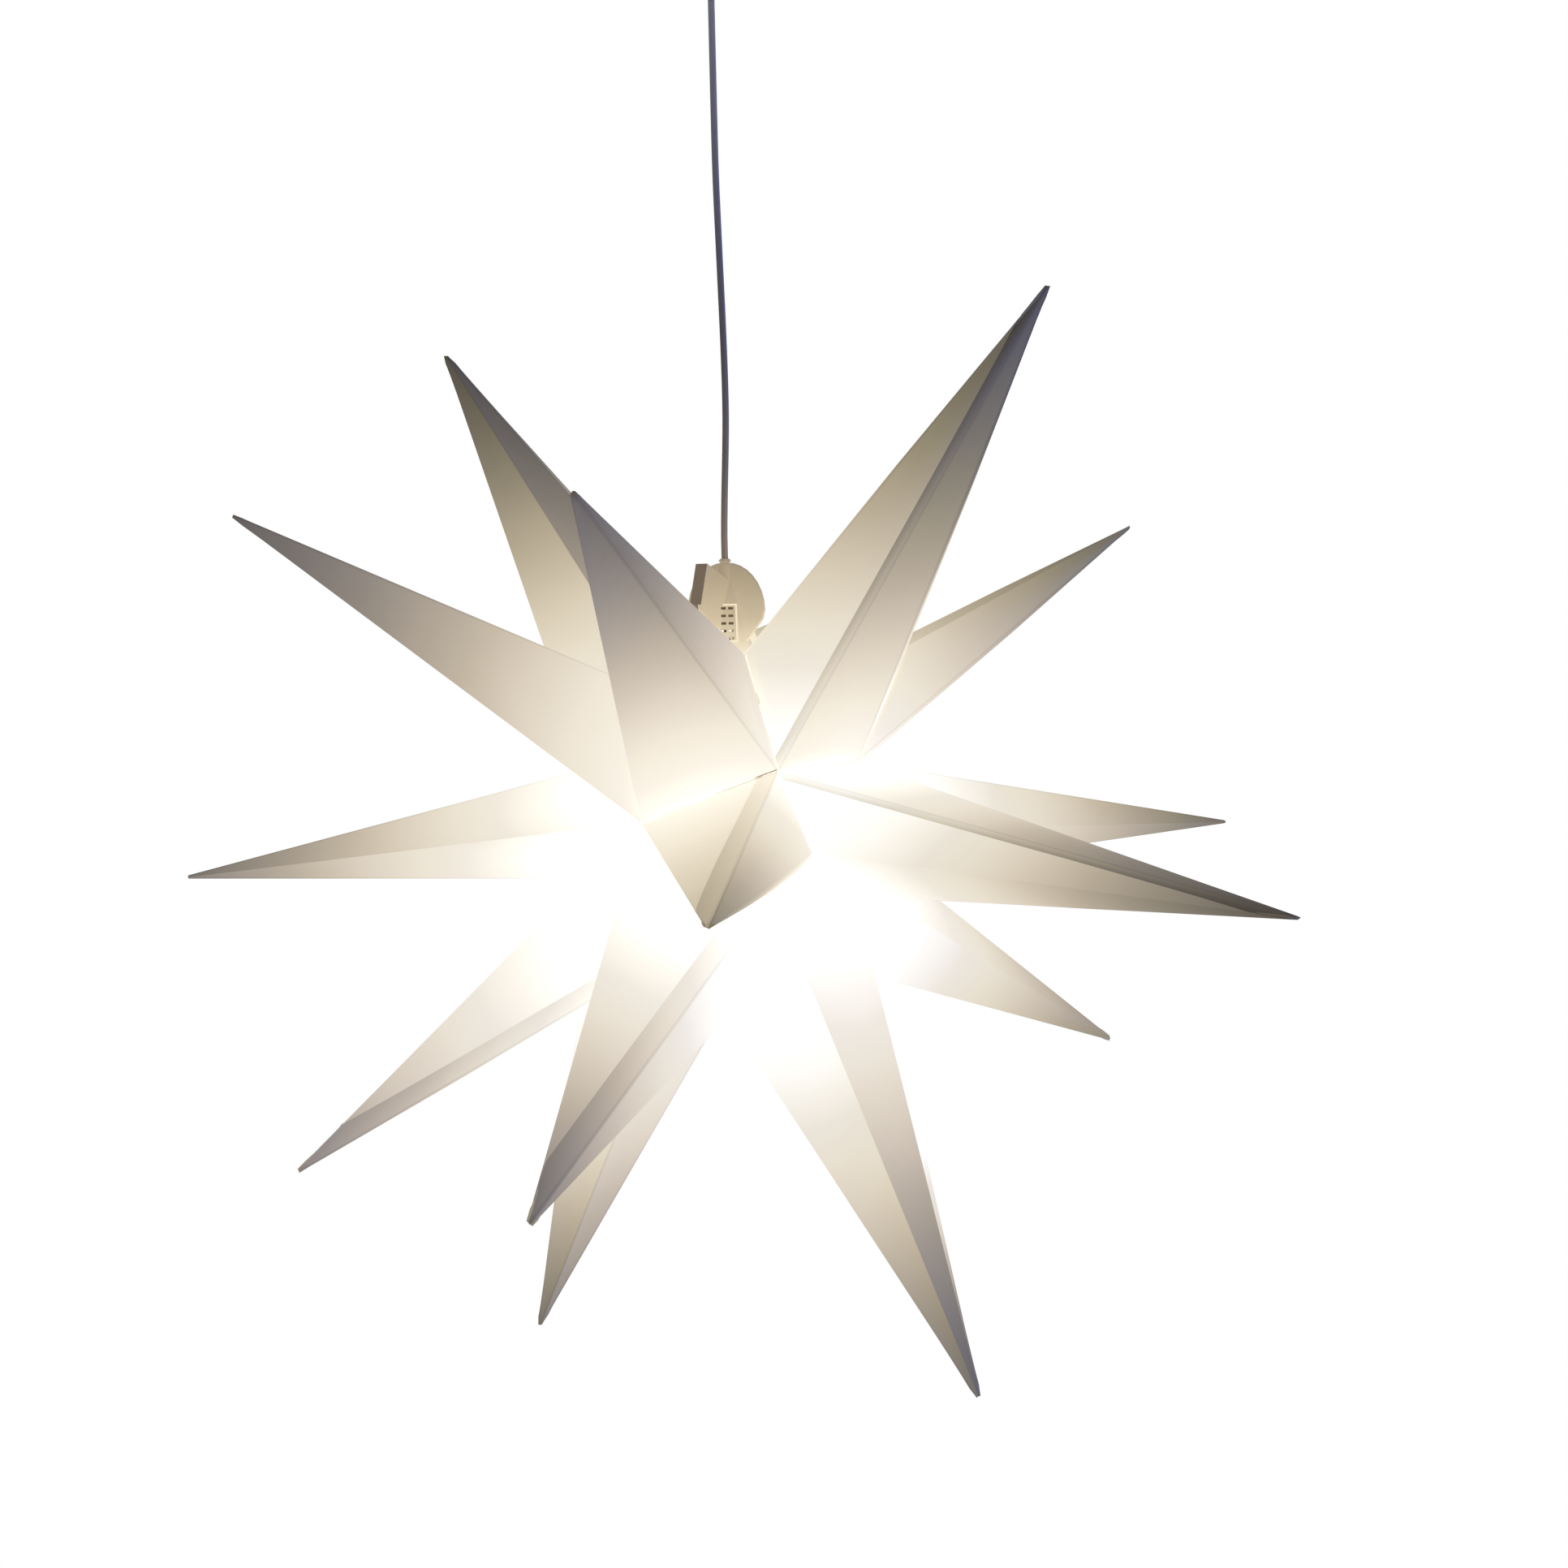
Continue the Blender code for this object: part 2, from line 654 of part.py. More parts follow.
def vent_frames():
    """The raised rim round each ladder of vents: an outer and an inner rectangle, filled and extruded."""
    bm = bmesh.new()
    for place in panel_places():
        corners = [(-1, -1), (1, -1), (1, 1), (-1, 1)]
        loops = []
        for inset in (0, VENT_RIM_WIDTH):
            loops.append([bm.verts.new((-VENT_RIM_ROOT, (VENT_FRAME_WIDTH / 2 - inset) * y,
                                        (VENT_FRAME_HEIGHT / 2 - inset) * z)) for y, z in corners])
        faces = [bm.faces.new((loops[0][i - 1], loops[0][i], loops[1][i], loops[1][i - 1])) for i in range(4)]
        grown = bmesh.ops.extrude_face_region(bm, geom=faces)
        moved = [item for item in grown["geom"] if isinstance(item, bmesh.types.BMVert)]
        bmesh.ops.translate(bm, vec=(VENT_RIM_ROOT + VENT_RIM, 0, 0), verts=moved)
        bmesh.ops.transform(bm, matrix=place, verts=loops[0] + loops[1] + moved)
    return in_star(add_object("cap_vent_frames", mesh_from(bm, "cap_vent_frames"), None, "cutters"))


def vent_slots():
    """The ladders' rungs: rows and columns of small slots through each flat side."""
    bm = bmesh.new()
    for place in panel_places():
        for row in range(VENT_ROWS):
            for column in range(VENT_COLUMNS):
                slot = bmesh.ops.create_cube(bm, size=1)
                bmesh.ops.scale(bm, vec=(VENT_DEPTH + OVERRUN, VENT_WIDTH, VENT_HEIGHT), verts=slot["verts"])
                aside = (column - (VENT_COLUMNS - 1) / 2) * (VENT_WIDTH + VENT_BAR)
                up = (row - (VENT_ROWS - 1) / 2) * VENT_PITCH
                bmesh.ops.translate(bm, vec=((OVERRUN - VENT_DEPTH) / 2, aside, up), verts=slot["verts"])
                bmesh.ops.transform(bm, matrix=place, verts=slot["verts"])
    return in_star(add_object("cap_vent_slots", mesh_from(bm, "cap_vent_slots"), None, "cutters"))


def build_cap(plastic):
    """The lamp cap, one moulding: bell, tower, wings and fins joined, then hollowed, slotted and vented."""
    outside = [(0, NECK_TOP), (NECK_RADIUS, NECK_TOP), (NECK_RADIUS, NECK_FOOT), (WAIST_RADIUS, WAIST_HEIGHT),
               (SHOULDER_RADIUS, SHOULDER_HEIGHT), (SKIRT_RADIUS, SKIRT_HEIGHT), (SKIRT_RADIUS, CAP_FOOT),
               (0, CAP_FOOT)]
    cap = turned("lamp_cap", outside, plastic)
    boolean(cap, build_tower(), "UNION")
    boolean(cap, plate("cap_wings", wing_outline(), WING_THICKNESS, (0, 1, 0)), "UNION")
    for side, word in ((-1, "front"), (1, "back")):
        boolean(cap, plate(f"cap_fin_{word}", fin_outline(side), FIN_THICKNESS, (1, 0, 0)), "UNION")
    boolean(cap, vent_frames(), "UNION")
    mouth = SLEEVE_RADIUS + FIT
    inner = SKIRT_RADIUS - CAP_WALL
    ledge = CAP_FOOT + FLANGE_HEIGHT
    cavity = [(0, CAP_TOP + OVERRUN), (GLAND_RADIUS, CAP_TOP + OVERRUN), (GLAND_RADIUS, TOWER_PEAK),
              (TOWER_TOP_BORE, TOWER_TOP), (TOWER_BORE, TOWER_SHOULDER),
              (SHOULDER_RADIUS - CAP_WALL, SHOULDER_HEIGHT), (inner, SKIRT_HEIGHT), (inner, ledge),
              (mouth, ledge), (mouth, CAP_FOOT - OVERRUN), (0, CAP_FOOT - OVERRUN)]
    boolean(cap, turned("cap_cavity", cavity, None, group="cutters"), "DIFFERENCE")
    for side, word in ((-1, "front"), (1, "back")):
        slot = block(f"cap_slot_{word}", (SLOT_WIDTH, SLOT_OUTER - SLOT_INNER, SLOT_ROOF - WING_FOOT),
                     (0, side * (SLOT_INNER + SLOT_OUTER) / 2, (SLOT_ROOF + WING_FOOT) / 2), None, "cutters")
        boolean(cap, slot, "DIFFERENCE")
    boolean(cap, vent_slots(), "DIFFERENCE")
    for side, word in ((-1, "front"), (1, "back")):
        bm = bmesh.new()
        rod(bm, PEG_RADIUS, (FIN_THICKNESS + SLOT_WIDTH) / 2, (0, side * PEG_REACH, PEG_HEIGHT), (1, 0, 0),
            TINY_ROUND)
        name = f"cap_peg_{word}"
        boolean(cap, in_star(add_object(name, mesh_from(bm, name), None, "cutters")), "UNION")


def build_holder(plastic, brass, steel):
    """The lampholder: sleeve, retaining ring, contact shell, contact tongue and terminals."""
    flange_foot = CAP_FOOT + FLANGE_HEIGHT + FIT
    flange_top = flange_foot + SLEEVE_FLANGE_HEIGHT
    turned("holder_sleeve", [
        (0, SLEEVE_TOP), (SLEEVE_BOSS_RADIUS, SLEEVE_TOP), (SLEEVE_BOSS_RADIUS, flange_top),
        (SLEEVE_FLANGE_RADIUS, flange_top), (SLEEVE_FLANGE_RADIUS, flange_foot), (SLEEVE_RADIUS, flange_foot),
        (SLEEVE_RADIUS, SLEEVE_STEP), (SLEEVE_TUBE_RADIUS, SLEEVE_STEP - SLEEVE_CHAMFER),
        (SLEEVE_TUBE_RADIUS, SLEEVE_FOOT), (SLEEVE_BORE, SLEEVE_FOOT), (SLEEVE_BORE, SLEEVE_FLOOR),
        (0, SLEEVE_FLOOR)], plastic)
    ring_top = CAP_FOOT - FIT
    ring_foot = ring_top - RING_HEIGHT
    ring_bore = SLEEVE_RADIUS + FIT
    ring = turned("holder_ring", [
        (RING_RADIUS, ring_top), (RING_RADIUS, ring_foot), (ring_bore, ring_foot), (ring_bore, ring_top)],
        plastic, closed=True)
    bm = bmesh.new()
    for i in range(RING_FLUTES):
        turn = 2 * math.pi * (i + 0.5) / RING_FLUTES
        place = around(turn, RING_RADIUS, (ring_top + ring_foot) / 2)
        rod(bm, RING_FLUTE_RADIUS, RING_HEIGHT + OVERRUN, place, (0, 0, 1), TINY_ROUND)
    flutes = in_star(add_object("ring_flutes", mesh_from(bm, "ring_flutes"), None, "cutters"))
    boolean(ring, flutes, "DIFFERENCE")
    shell = SHELL_RADIUS + SHELL_WALL
    turned("contact_shell", [(shell, SHELL_TOP), (shell, SHELL_FOOT), (SHELL_RADIUS, SHELL_FOOT),
                             (SHELL_RADIUS, SHELL_TOP)], brass, closed=True)
    tongue_top = SLEEVE_FLOOR - FIT
    half = TONGUE_LENGTH / 2
    rail = [(-half, tongue_top), (-half / 2, tongue_top), (0, tongue_top - TONGUE_DIP),
            (half / 2, tongue_top), (half, tongue_top)]
    sheet_strip("contact_tongue", rail, 0, TONGUE_WIDTH, TONGUE_THICKNESS, 0, brass)
    block_foot = SLEEVE_TOP + FIT
    block_top = block_foot + TERMINAL_HEIGHT
    block("terminal_block", (TERMINAL_LENGTH, TERMINAL_WIDTH, TERMINAL_HEIGHT),
          (0, 0, (block_foot + block_top) / 2), plastic)
    for hand, word in ((1, "live"), (-1, "return")):
        bm = bmesh.new()
        rod(bm, TERMINAL_SCREW_RADIUS, TERMINAL_SCREW_HEIGHT,
            (hand * TERMINAL_SPACING / 2, -TERMINAL_OFFSET, block_top + FIT + TERMINAL_SCREW_HEIGHT / 2),
            (0, 0, 1), TINY_ROUND)
        name = f"terminal_screw_{word}"
        in_star(add_object(name, mesh_from(bm, name), steel))


def arc(radius, centre, start, end, steps):
    """Points of a profile along an arc about a centre on the axis, as radius and height."""
    turns = [start + (end - start) * i / steps for i in range(steps + 1)]
    return [(max(0, radius * math.cos(turn)) if abs(turn) < math.pi / 2 else 0,
             centre + radius * math.sin(turn)) for turn in turns]


def build_bulb(white, opal, nickel, black, board):
    """The screw bulb: base, insulator, tip contact, heat sink, board with chips, driver card and globe."""
    corner = BASE_TOP - BASE_TAPER
    turned("bulb_base", [
        (BASE_MOUTH, BASE_TOP), (BASE_RADIUS, corner), (BASE_RADIUS, BULB_SHOULDER),
        (BASE_RADIUS - BASE_WALL, BULB_SHOULDER), (BASE_RADIUS - BASE_WALL, corner - BASE_WALL),
        (BASE_MOUTH, BASE_TOP - BASE_WALL)], nickel, steps=SMALL_ROUND, closed=True)
    insulator_foot = BASE_TOP + FIT
    insulator_top = insulator_foot + INSULATOR_HEIGHT
    turned("bulb_insulator", [
        (0, insulator_top), (INSULATOR_TOP_RADIUS, insulator_top), (INSULATOR_RADIUS, insulator_foot),
        (0, insulator_foot)], black, steps=SMALL_ROUND)
    contact_foot = insulator_top + FIT
    turned("bulb_contact", [
        (0, contact_foot + CONTACT_HEIGHT), (CONTACT_RADIUS / 2, contact_foot + CONTACT_HEIGHT),
        (CONTACT_RADIUS, contact_foot), (0, contact_foot)], nickel, steps=TINY_ROUND)
    top = BULB_SHOULDER - FIT
    band = HEATSINK_FOOT + HEATSINK_BAND
    turned("bulb_heat_sink", [
        (HEATSINK_NECK, top), (HEATSINK_WAIST_RADIUS, HEATSINK_WAIST), (HEATSINK_RADIUS, band),
        (HEATSINK_RADIUS, HEATSINK_FOOT), (HEATSINK_RADIUS - HEATSINK_WALL, HEATSINK_FOOT),
        (HEATSINK_RADIUS - HEATSINK_WALL, band), (HEATSINK_WAIST_RADIUS - HEATSINK_WALL, HEATSINK_WAIST),
        (HEATSINK_NECK - HEATSINK_WALL, top)], white, closed=True)
    rim = HEATSINK_FOOT - FIT
    inner_radius = GLOBE_RADIUS - GLOBE_WALL
    bottom = -math.pi / 2
    inner_rim = math.asin((rim - GLOBE_CENTRE) / inner_radius)
    outer_rim = math.asin((rim - GLOBE_CENTRE) / GLOBE_RADIUS)
    inner = arc(inner_radius, GLOBE_CENTRE, bottom, inner_rim, GLOBE_STEPS)
    outer = arc(GLOBE_RADIUS, GLOBE_CENTRE, outer_rim, bottom, GLOBE_STEPS)
    turned("bulb_globe", inner + outer, opal)
    board_radius = HEATSINK_RADIUS - HEATSINK_WALL - FIT
    board_foot = HEATSINK_FOOT
    board_top = board_foot + BOARD_THICKNESS
    led_board = turned("led_board", [(0, board_top), (board_radius, board_top), (board_radius, board_foot),
                                     (0, board_foot)], board)
    bm = bmesh.new()
    for i in range(CHIP_COUNT):
        turn = 2 * math.pi * i / CHIP_COUNT
        chip = bmesh.ops.create_cube(bm, size=1)
        bmesh.ops.scale(bm, vec=(CHIP_SIZE, CHIP_SIZE, CHIP_HEIGHT * 2), verts=chip["verts"])
        place = Matrix.Translation(around(turn, CHIP_REACH, board_foot)) @ Matrix.Rotation(turn, 4, "Z")
        bmesh.ops.transform(bm, matrix=place, verts=chip["verts"])
    chips = in_star(add_object("board_chips", mesh_from(bm, "board_chips"), None, "cutters"))
    boolean(led_board, chips, "UNION")
    card_foot = board_top + FIT
    card = block("driver_card", (DRIVER_WIDTH, DRIVER_THICKNESS, DRIVER_TOP - card_foot),
                 (0, 0, (DRIVER_TOP + card_foot) / 2), board)
    bm = bmesh.new()
    rod(bm, CAPACITOR_RADIUS, CAPACITOR_HEIGHT,
        (0, CAPACITOR_RADIUS, card_foot + CAPACITOR_FOOT + CAPACITOR_HEIGHT / 2), (0, 0, 1), TINY_ROUND)
    capacitor = in_star(add_object("card_capacitor", mesh_from(bm, "card_capacitor"), None, "cutters"))
    boolean(card, capacitor, "UNION")


def build_cord(fabric, plastic, copper, grey):
    """The free cord, the relief at the cap's top, and the cord's tail, wedge and two cores inside the cap."""
    wire("cord", smooth_route(CORD_ROUTE, CORD_STEP), CORD_RADIUS, fabric)
    bore = CORD_RADIUS + FIT
    collar_foot = CAP_TOP + FIT
    stem = GLAND_RADIUS - FIT
    collar_top = collar_foot + RELIEF_COLLAR
    turned("cord_relief", [
        (RELIEF_TOP_RADIUS, collar_foot + RELIEF_HEIGHT), (RELIEF_RADIUS, collar_top),
        (RELIEF_RADIUS, collar_foot), (stem, collar_foot), (stem, collar_foot - RELIEF_STEM),
        (bore, collar_foot - RELIEF_STEM), (bore, collar_foot + RELIEF_HEIGHT)], plastic,
        steps=SMALL_ROUND, closed=True)
    tail_top = Vector(CORD_ROUTE[0]).z - FIT + STAR_DROP
    tail = wire("cord_tail", [(0, 0, TAIL_FOOT), (0, 0, (TAIL_FOOT + tail_top) / 2), (0, 0, tail_top)],
                CORD_RADIUS, fabric)
    in_star(tail)
    wedge_top = WEDGE_FOOT + WEDGE_HEIGHT
    side = (TOWER_BORE - TOWER_TOP_BORE) / (TOWER_TOP - TOWER_SHOULDER)
    wedge_foot_radius = TOWER_BORE - side * (WEDGE_FOOT - TOWER_SHOULDER) - FIT
    wedge_top_radius = TOWER_BORE - side * (wedge_top - TOWER_SHOULDER) - FIT
    turned("cord_wedge", [(wedge_top_radius, wedge_top), (wedge_foot_radius, WEDGE_FOOT), (bore, WEDGE_FOOT),
                          (bore, wedge_top)], grey, steps=SMALL_ROUND, closed=True)
    block_top = SLEEVE_TOP + FIT + TERMINAL_HEIGHT
    for hand, word in ((1, "live"), (-1, "return")):
        start = Vector((hand * CORE_SPACING / 2, 0, TAIL_FOOT - FIT))
        end = Vector((hand * TERMINAL_SPACING / 2, TERMINAL_OFFSET, block_top + FIT))
        fall = Vector((0, 0, (end.z - start.z) / 4))
        route = [start, start + fall, end - fall, end]
        in_star(wire(f"core_{word}", smooth_route(route, CORE_STEP), CORE_RADIUS, copper, 1))


def build_ceiling(plastic, grey, steel):
    """The ceiling fitting: a screwed plate with a cord boss, and a cup held on the cord by its grip."""
    bore = CORD_RADIUS + FIT
    mount = turned("ceiling_plate", [
        (0, 0), (PLATE_RADIUS, 0), (PLATE_RADIUS, -PLATE_THICKNESS), (PLATE_BOSS_RADIUS, -PLATE_THICKNESS),
        (PLATE_BOSS_RADIUS, -PLATE_BOSS_FOOT), (bore, -PLATE_BOSS_FOOT), (bore, -PLATE_CORD_TOP),
        (0, -PLATE_CORD_TOP)], grey, height=0)
    bm = bmesh.new()
    for hand in (-1, 1):
        place = (hand * PLATE_HOLE_REACH, 0, -PLATE_THICKNESS / 2)
        rod(bm, PLATE_HOLE_RADIUS, PLATE_THICKNESS + OVERRUN, place, (0, 0, 1), TINY_ROUND)
    boolean(mount, add_object("plate_holes", mesh_from(bm, "plate_holes"), None, "cutters"), "DIFFERENCE")
    dome = CUP_DEPTH - CUP_BAND
    shoulder = CUP_RADIUS - CUP_FLARE
    outer = [(CUP_RADIUS, -FIT)]
    inner = [(CUP_RADIUS - CUP_WALL, -FIT)]
    for i in range(CUP_STEPS + 1):
        turn = math.pi / 2 * i / CUP_STEPS
        across = shoulder - CUP_FLOOR_RADIUS
        outer.append((CUP_FLOOR_RADIUS + across * math.cos(turn), -CUP_BAND - dome * math.sin(turn)))
        inner.append((CUP_FLOOR_RADIUS + (across - CUP_WALL) * math.cos(turn),
                      -CUP_BAND - (dome - CUP_WALL) * math.sin(turn)))
    hole = GRIP_STEM_RADIUS + FIT
    outer.append((hole, -CUP_DEPTH))
    inner.append((hole, CUP_WALL - CUP_DEPTH))
    turned("ceiling_cup", outer + inner[::-1], plastic, closed=True, height=0)
    flange_top = -CUP_DEPTH - FIT
    flange_foot = flange_top - GRIP_FLANGE_HEIGHT
    stem_top = CUP_WALL - CUP_DEPTH + FIT + NUT_HEIGHT + GRIP_STEM_END
    grip = turned("cord_grip", [
        (GRIP_STEM_RADIUS, stem_top), (GRIP_STEM_RADIUS, flange_top), (GRIP_FLANGE_RADIUS, flange_top),
        (GRIP_FLANGE_RADIUS, flange_foot), (GRIP_NOSE_RADIUS, flange_foot - GRIP_NOSE_HEIGHT),
        (bore, flange_foot - GRIP_NOSE_HEIGHT), (bore, stem_top)],
        grey, steps=SMALL_ROUND, closed=True, height=0)
    middle = (flange_top + flange_foot) / 2
    bm = bmesh.new()
    rod(bm, GRUB_RADIUS + FIT, GRIP_FLANGE_RADIUS, (0, -GRIP_FLANGE_RADIUS, middle), (0, 1, 0), TINY_ROUND)
    drilled = bmesh.ops.translate(bm, vec=(0, GRIP_FLANGE_RADIUS / 2 - bore / 2, 0), verts=bm.verts)
    boolean(grip, add_object("grub_hole", mesh_from(bm, "grub_hole"), None, "cutters"), "DIFFERENCE")
    grub_length = GRIP_FLANGE_RADIUS - bore - FIT
    bm = bmesh.new()
    rod(bm, GRUB_RADIUS, grub_length, (0, -bore - grub_length / 2, middle), (0, 1, 0), TINY_ROUND)
    add_object("grip_screw", mesh_from(bm, "grip_screw"), steel)
    nut_foot = CUP_WALL - CUP_DEPTH + FIT
    turned("grip_nut", [
        (NUT_RADIUS, nut_foot + NUT_HEIGHT), (NUT_RADIUS, nut_foot), (hole, nut_foot),
        (hole, nut_foot + NUT_HEIGHT)], grey, steps=SMALL_ROUND, closed=True, height=0)


def main():
    clear_scene()
    GROUPS["star"] = collection("christmas_star")
    GROUPS["cutters"] = collection("cutters")
    foil = material("pearl_foil", (0.86, 0.80, 0.68), 0.45)
    cream = material("cream_plastic", (0.66, 0.57, 0.40), 0.5)
    white = material("white_plastic", (0.85, 0.84, 0.80), 0.4)
    opal = material("opal_plastic", (0.95, 0.90, 0.80), 0.35)
    grey = material("grey_plastic", (0.40, 0.39, 0.37), 0.5)
    black = material("black_insulator", (0.03, 0.03, 0.03), 0.4)
    board = material("board_laminate", (0.80, 0.80, 0.76), 0.5)
    brass = material("brass", (0.76, 0.60, 0.30), 0.3, 1.0)
    nickel = material("nickel_plate", (0.66, 0.64, 0.60), 0.3, 1.0)
    steel = material("zinc_steel", (0.62, 0.62, 0.62), 0.35, 1.0)
    sheath = material("cord_sheath", (0.10, 0.09, 0.09), 0.55)
    core = material("core_sheath", (0.35, 0.20, 0.12), 0.5)
    build_shade(foil)
    build_cap(cream)
    build_tabs(foil)
    build_holder(white, brass, steel)
    build_bulb(white, opal, nickel, black, board)
    build_cord(sheath, grey, core, grey)
    build_ceiling(white, grey, steel)


GROUPS = {}

if __name__ == "__main__":
    main()
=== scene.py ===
"""Dresses a packed folding star lamp: foil points with folds and welds, cap, bulb, cord and ceiling cup.

Every length is in metres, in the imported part's own frame. The origin is the middle of the ceiling plate's
top.
"""

import math

import bmesh
import bpy
from mathutils import Matrix, Vector


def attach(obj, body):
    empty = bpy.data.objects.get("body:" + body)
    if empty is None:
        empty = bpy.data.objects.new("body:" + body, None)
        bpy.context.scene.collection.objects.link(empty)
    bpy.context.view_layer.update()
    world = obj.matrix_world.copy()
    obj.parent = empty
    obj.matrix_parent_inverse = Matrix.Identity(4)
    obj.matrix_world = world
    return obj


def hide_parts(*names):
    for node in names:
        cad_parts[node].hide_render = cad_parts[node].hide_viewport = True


bl_info = {
    "name": "Folding star lamp",
    "version": (1, 0, 0),
    "blender": (4, 5, 0),
    "location": "3D View > Sidebar > Star lamp",
    "description": "Builds the looks of a folding star lamp round its packed frame",
    "category": "Object",
}

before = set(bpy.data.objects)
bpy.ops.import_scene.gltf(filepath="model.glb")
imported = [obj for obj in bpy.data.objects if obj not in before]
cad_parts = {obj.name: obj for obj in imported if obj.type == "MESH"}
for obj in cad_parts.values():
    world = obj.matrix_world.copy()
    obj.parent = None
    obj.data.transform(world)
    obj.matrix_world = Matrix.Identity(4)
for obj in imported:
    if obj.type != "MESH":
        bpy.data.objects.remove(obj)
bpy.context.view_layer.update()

# The middle of the star. The fan opens round a Y axis through it, and its points are worked out from it
STAR_CENTRE = Vector((0, 0, -0.415))
GLOBE_CENTRE = Vector((0, 0, -0.4217))
POCKETS = 6
# Across the cap, the angle between the middles of the first and last pockets, and that of the fan's mouth
END_SPREAD, MOUTH_ANGLE = math.radians(78), math.radians(34)
# The base corners' radius round the Y axis and their depth along it, front and back
VALLEY_RADIUS, VALLEY_DEPTH = 0.0556, 0.0277
SADDLE_RADIUS, SADDLE_DEPTH = 0.0924, 0.0556
POLE_DEPTH = 0.0595
# How far the rim tips and the front and back tips reach from the middle, and how far these lean off the axis
RIM_REACH, POLE_REACH = 0.280, 0.247
POLE_TILT = math.radians(38.5)
# Width of a blunt tip
TIP_OPENING = 0.0030
# Share of the length lost to a blunt tip that the film's end flaps give back
TIP_REACH = 0.9
# Each fold starts this far up from the corner that neighbouring points share
FOLD_GAP = 0.0006
# A facet's crown is a parabola across it, which the peak makes one in the middle. It has its full height
# from one third of the length off the tip, and facets narrower than the least width take none
CROWN_PEAK, CROWN_RISE = 4, 3
LEAST_WIDTH = 1e-6

# Numbers of a point's corners whose folds are valleys, and of a rim point's two narrow facets
RIM_VALLEYS, POLE_VALLEYS = (1, 2, 4, 5), (1, 3)
NARROW_FACETS = (1, 4)
# Folds over the saddles are rolled, so they cast no line: their distances are raised by this
FOLD_CLEAR = 0.003
# A valley's line of painted shade in the light, and its trace where the film is nearly white, end between
# these distances from the fold
FOLD_LINE, FOLD_TRACE = (0.0002, 0.0008), (0.0003, 0.0009)
FLAP_INSET = 0.0012
# The weld attribute at a flap's fold and at its inner edge. It is nought beside a flap
POLE_WELD, RIM_WELD = (0.1, 0.5), (0.5, 1.0)
# A flap's inner edge passes this share of the light that the flap passes at its fold
INNER_EDGE_LIGHT = 0.50
# The die-cut slit, painted as a brown shade in the film, and how softly its sides, its start and its end
# fade
SLIT_LENGTH, SLIT_WIDTH = 0.0090, 0.0011
SLIT_SIDE_FADE, SLIT_START_FADE, SLIT_END_FADE = 0.00066, 0.0004, 0.00225

# Each tip's bend after the photograph, in shares of its reach: sideways round the fan, outwards or, for a
# rim tip, backwards, and longer
BEND_SHARES = {
    "rim_point_1": (0.00, -0.01, -0.01),
    "front_point_1": (0.05, 0.04, 0.01),
    "back_point_1": (0.02, 0.02, 0.00),
    "rim_point_2": (-0.01, 0.01, 0.00),
    "front_point_2": (-0.01, 0.01, 0.00),
    "back_point_2": (-0.01, -0.03, -0.02),
    "rim_point_3": (0.00, 0.00, -0.01),
    "front_point_3": (-0.02, -0.02, 0.00),
    "back_point_3": (0.03, -0.02, 0.00),
    "rim_point_4": (0.05, -0.04, 0.02),
    "front_point_5": (0.02, 0.01, -0.03),
    "rim_point_6": (0.00, -0.01, 0.00),
    "front_point_6": (-0.03, 0.04, 0.03),
    "back_point_6": (0.00, -0.12, 0.00),
}

# The light in the film is stated at this distance from the globe, and falls off further out
LIT_REACH = 0.19
# Light of a point that lies level, what it gains if it hangs straight down, and what it loses straight up
LEVEL_LIGHT = 0.54
HANGING_GAIN, RISING_RIM_LOSS, RISING_POLE_LOSS = 0.18, 0.27, 0.50
# Light that comes round from facet to facet and reaches the whole film alike, and the most light there is
STRAY_LIGHT, MOST_LIGHT = 0.03, 6.0
# A facet's usual share of the light and the length over which it falls, by the kind of facet
POLE_FACET, RIM_FACET, NARROW_FACET = (1.0, 0.060), (1.0, 0.047), (0.66, 0.055)
# Facets of other light than the usual: their share, and the length over which it falls
LIGHT_SHARES = {
    ("front_point_1", 2): (0.88, 0.057),
    ("front_point_1", 3): (1.04, 0.060),
    ("back_point_1", 1): (0.90, 0.067),
    ("back_point_1", 2): (1.04, 0.058),
    ("rim_point_1", 5): (1.16, 0.051),
    ("front_point_2", 0): (1.42, 0.140),
    ("front_point_2", 1): (0.90, 0.064),
    ("front_point_2", 2): (0.72, 0.062),
    ("back_point_2", 1): (0.78, 0.046),
    ("back_point_2", 2): (0.85, 0.049),
    ("rim_point_2", 0): (1.18, 0.046),
    ("rim_point_2", 1): (0.59, 0.045),
    ("rim_point_2", 5): (1.06, 0.044),
    ("front_point_3", 0): (0.85, 0.049),
    ("front_point_3", 1): (0.91, 0.049),
    ("back_point_3", 1): (1.03, 0.054),
    ("rim_point_3", 0): (1.09, 0.047),
    ("rim_point_3", 1): (0.57, 0.051),
    ("rim_point_3", 2): (2.20, 0.027),
    ("front_point_4", 0): (1.30, 0.056),
    ("rim_point_4", 0): (1.15, 0.054),
    ("rim_point_4", 1): (1.00, 0.073),
    ("front_point_5", 0): (1.02, 0.057),
    ("front_point_5", 3): (0.72, 0.054),
    ("front_point_6", 3): (1.05, 0.065),
    ("rim_point_6", 4): (0.52, 0.076),
    ("rim_point_6", 5): (0.90, 0.058),
}

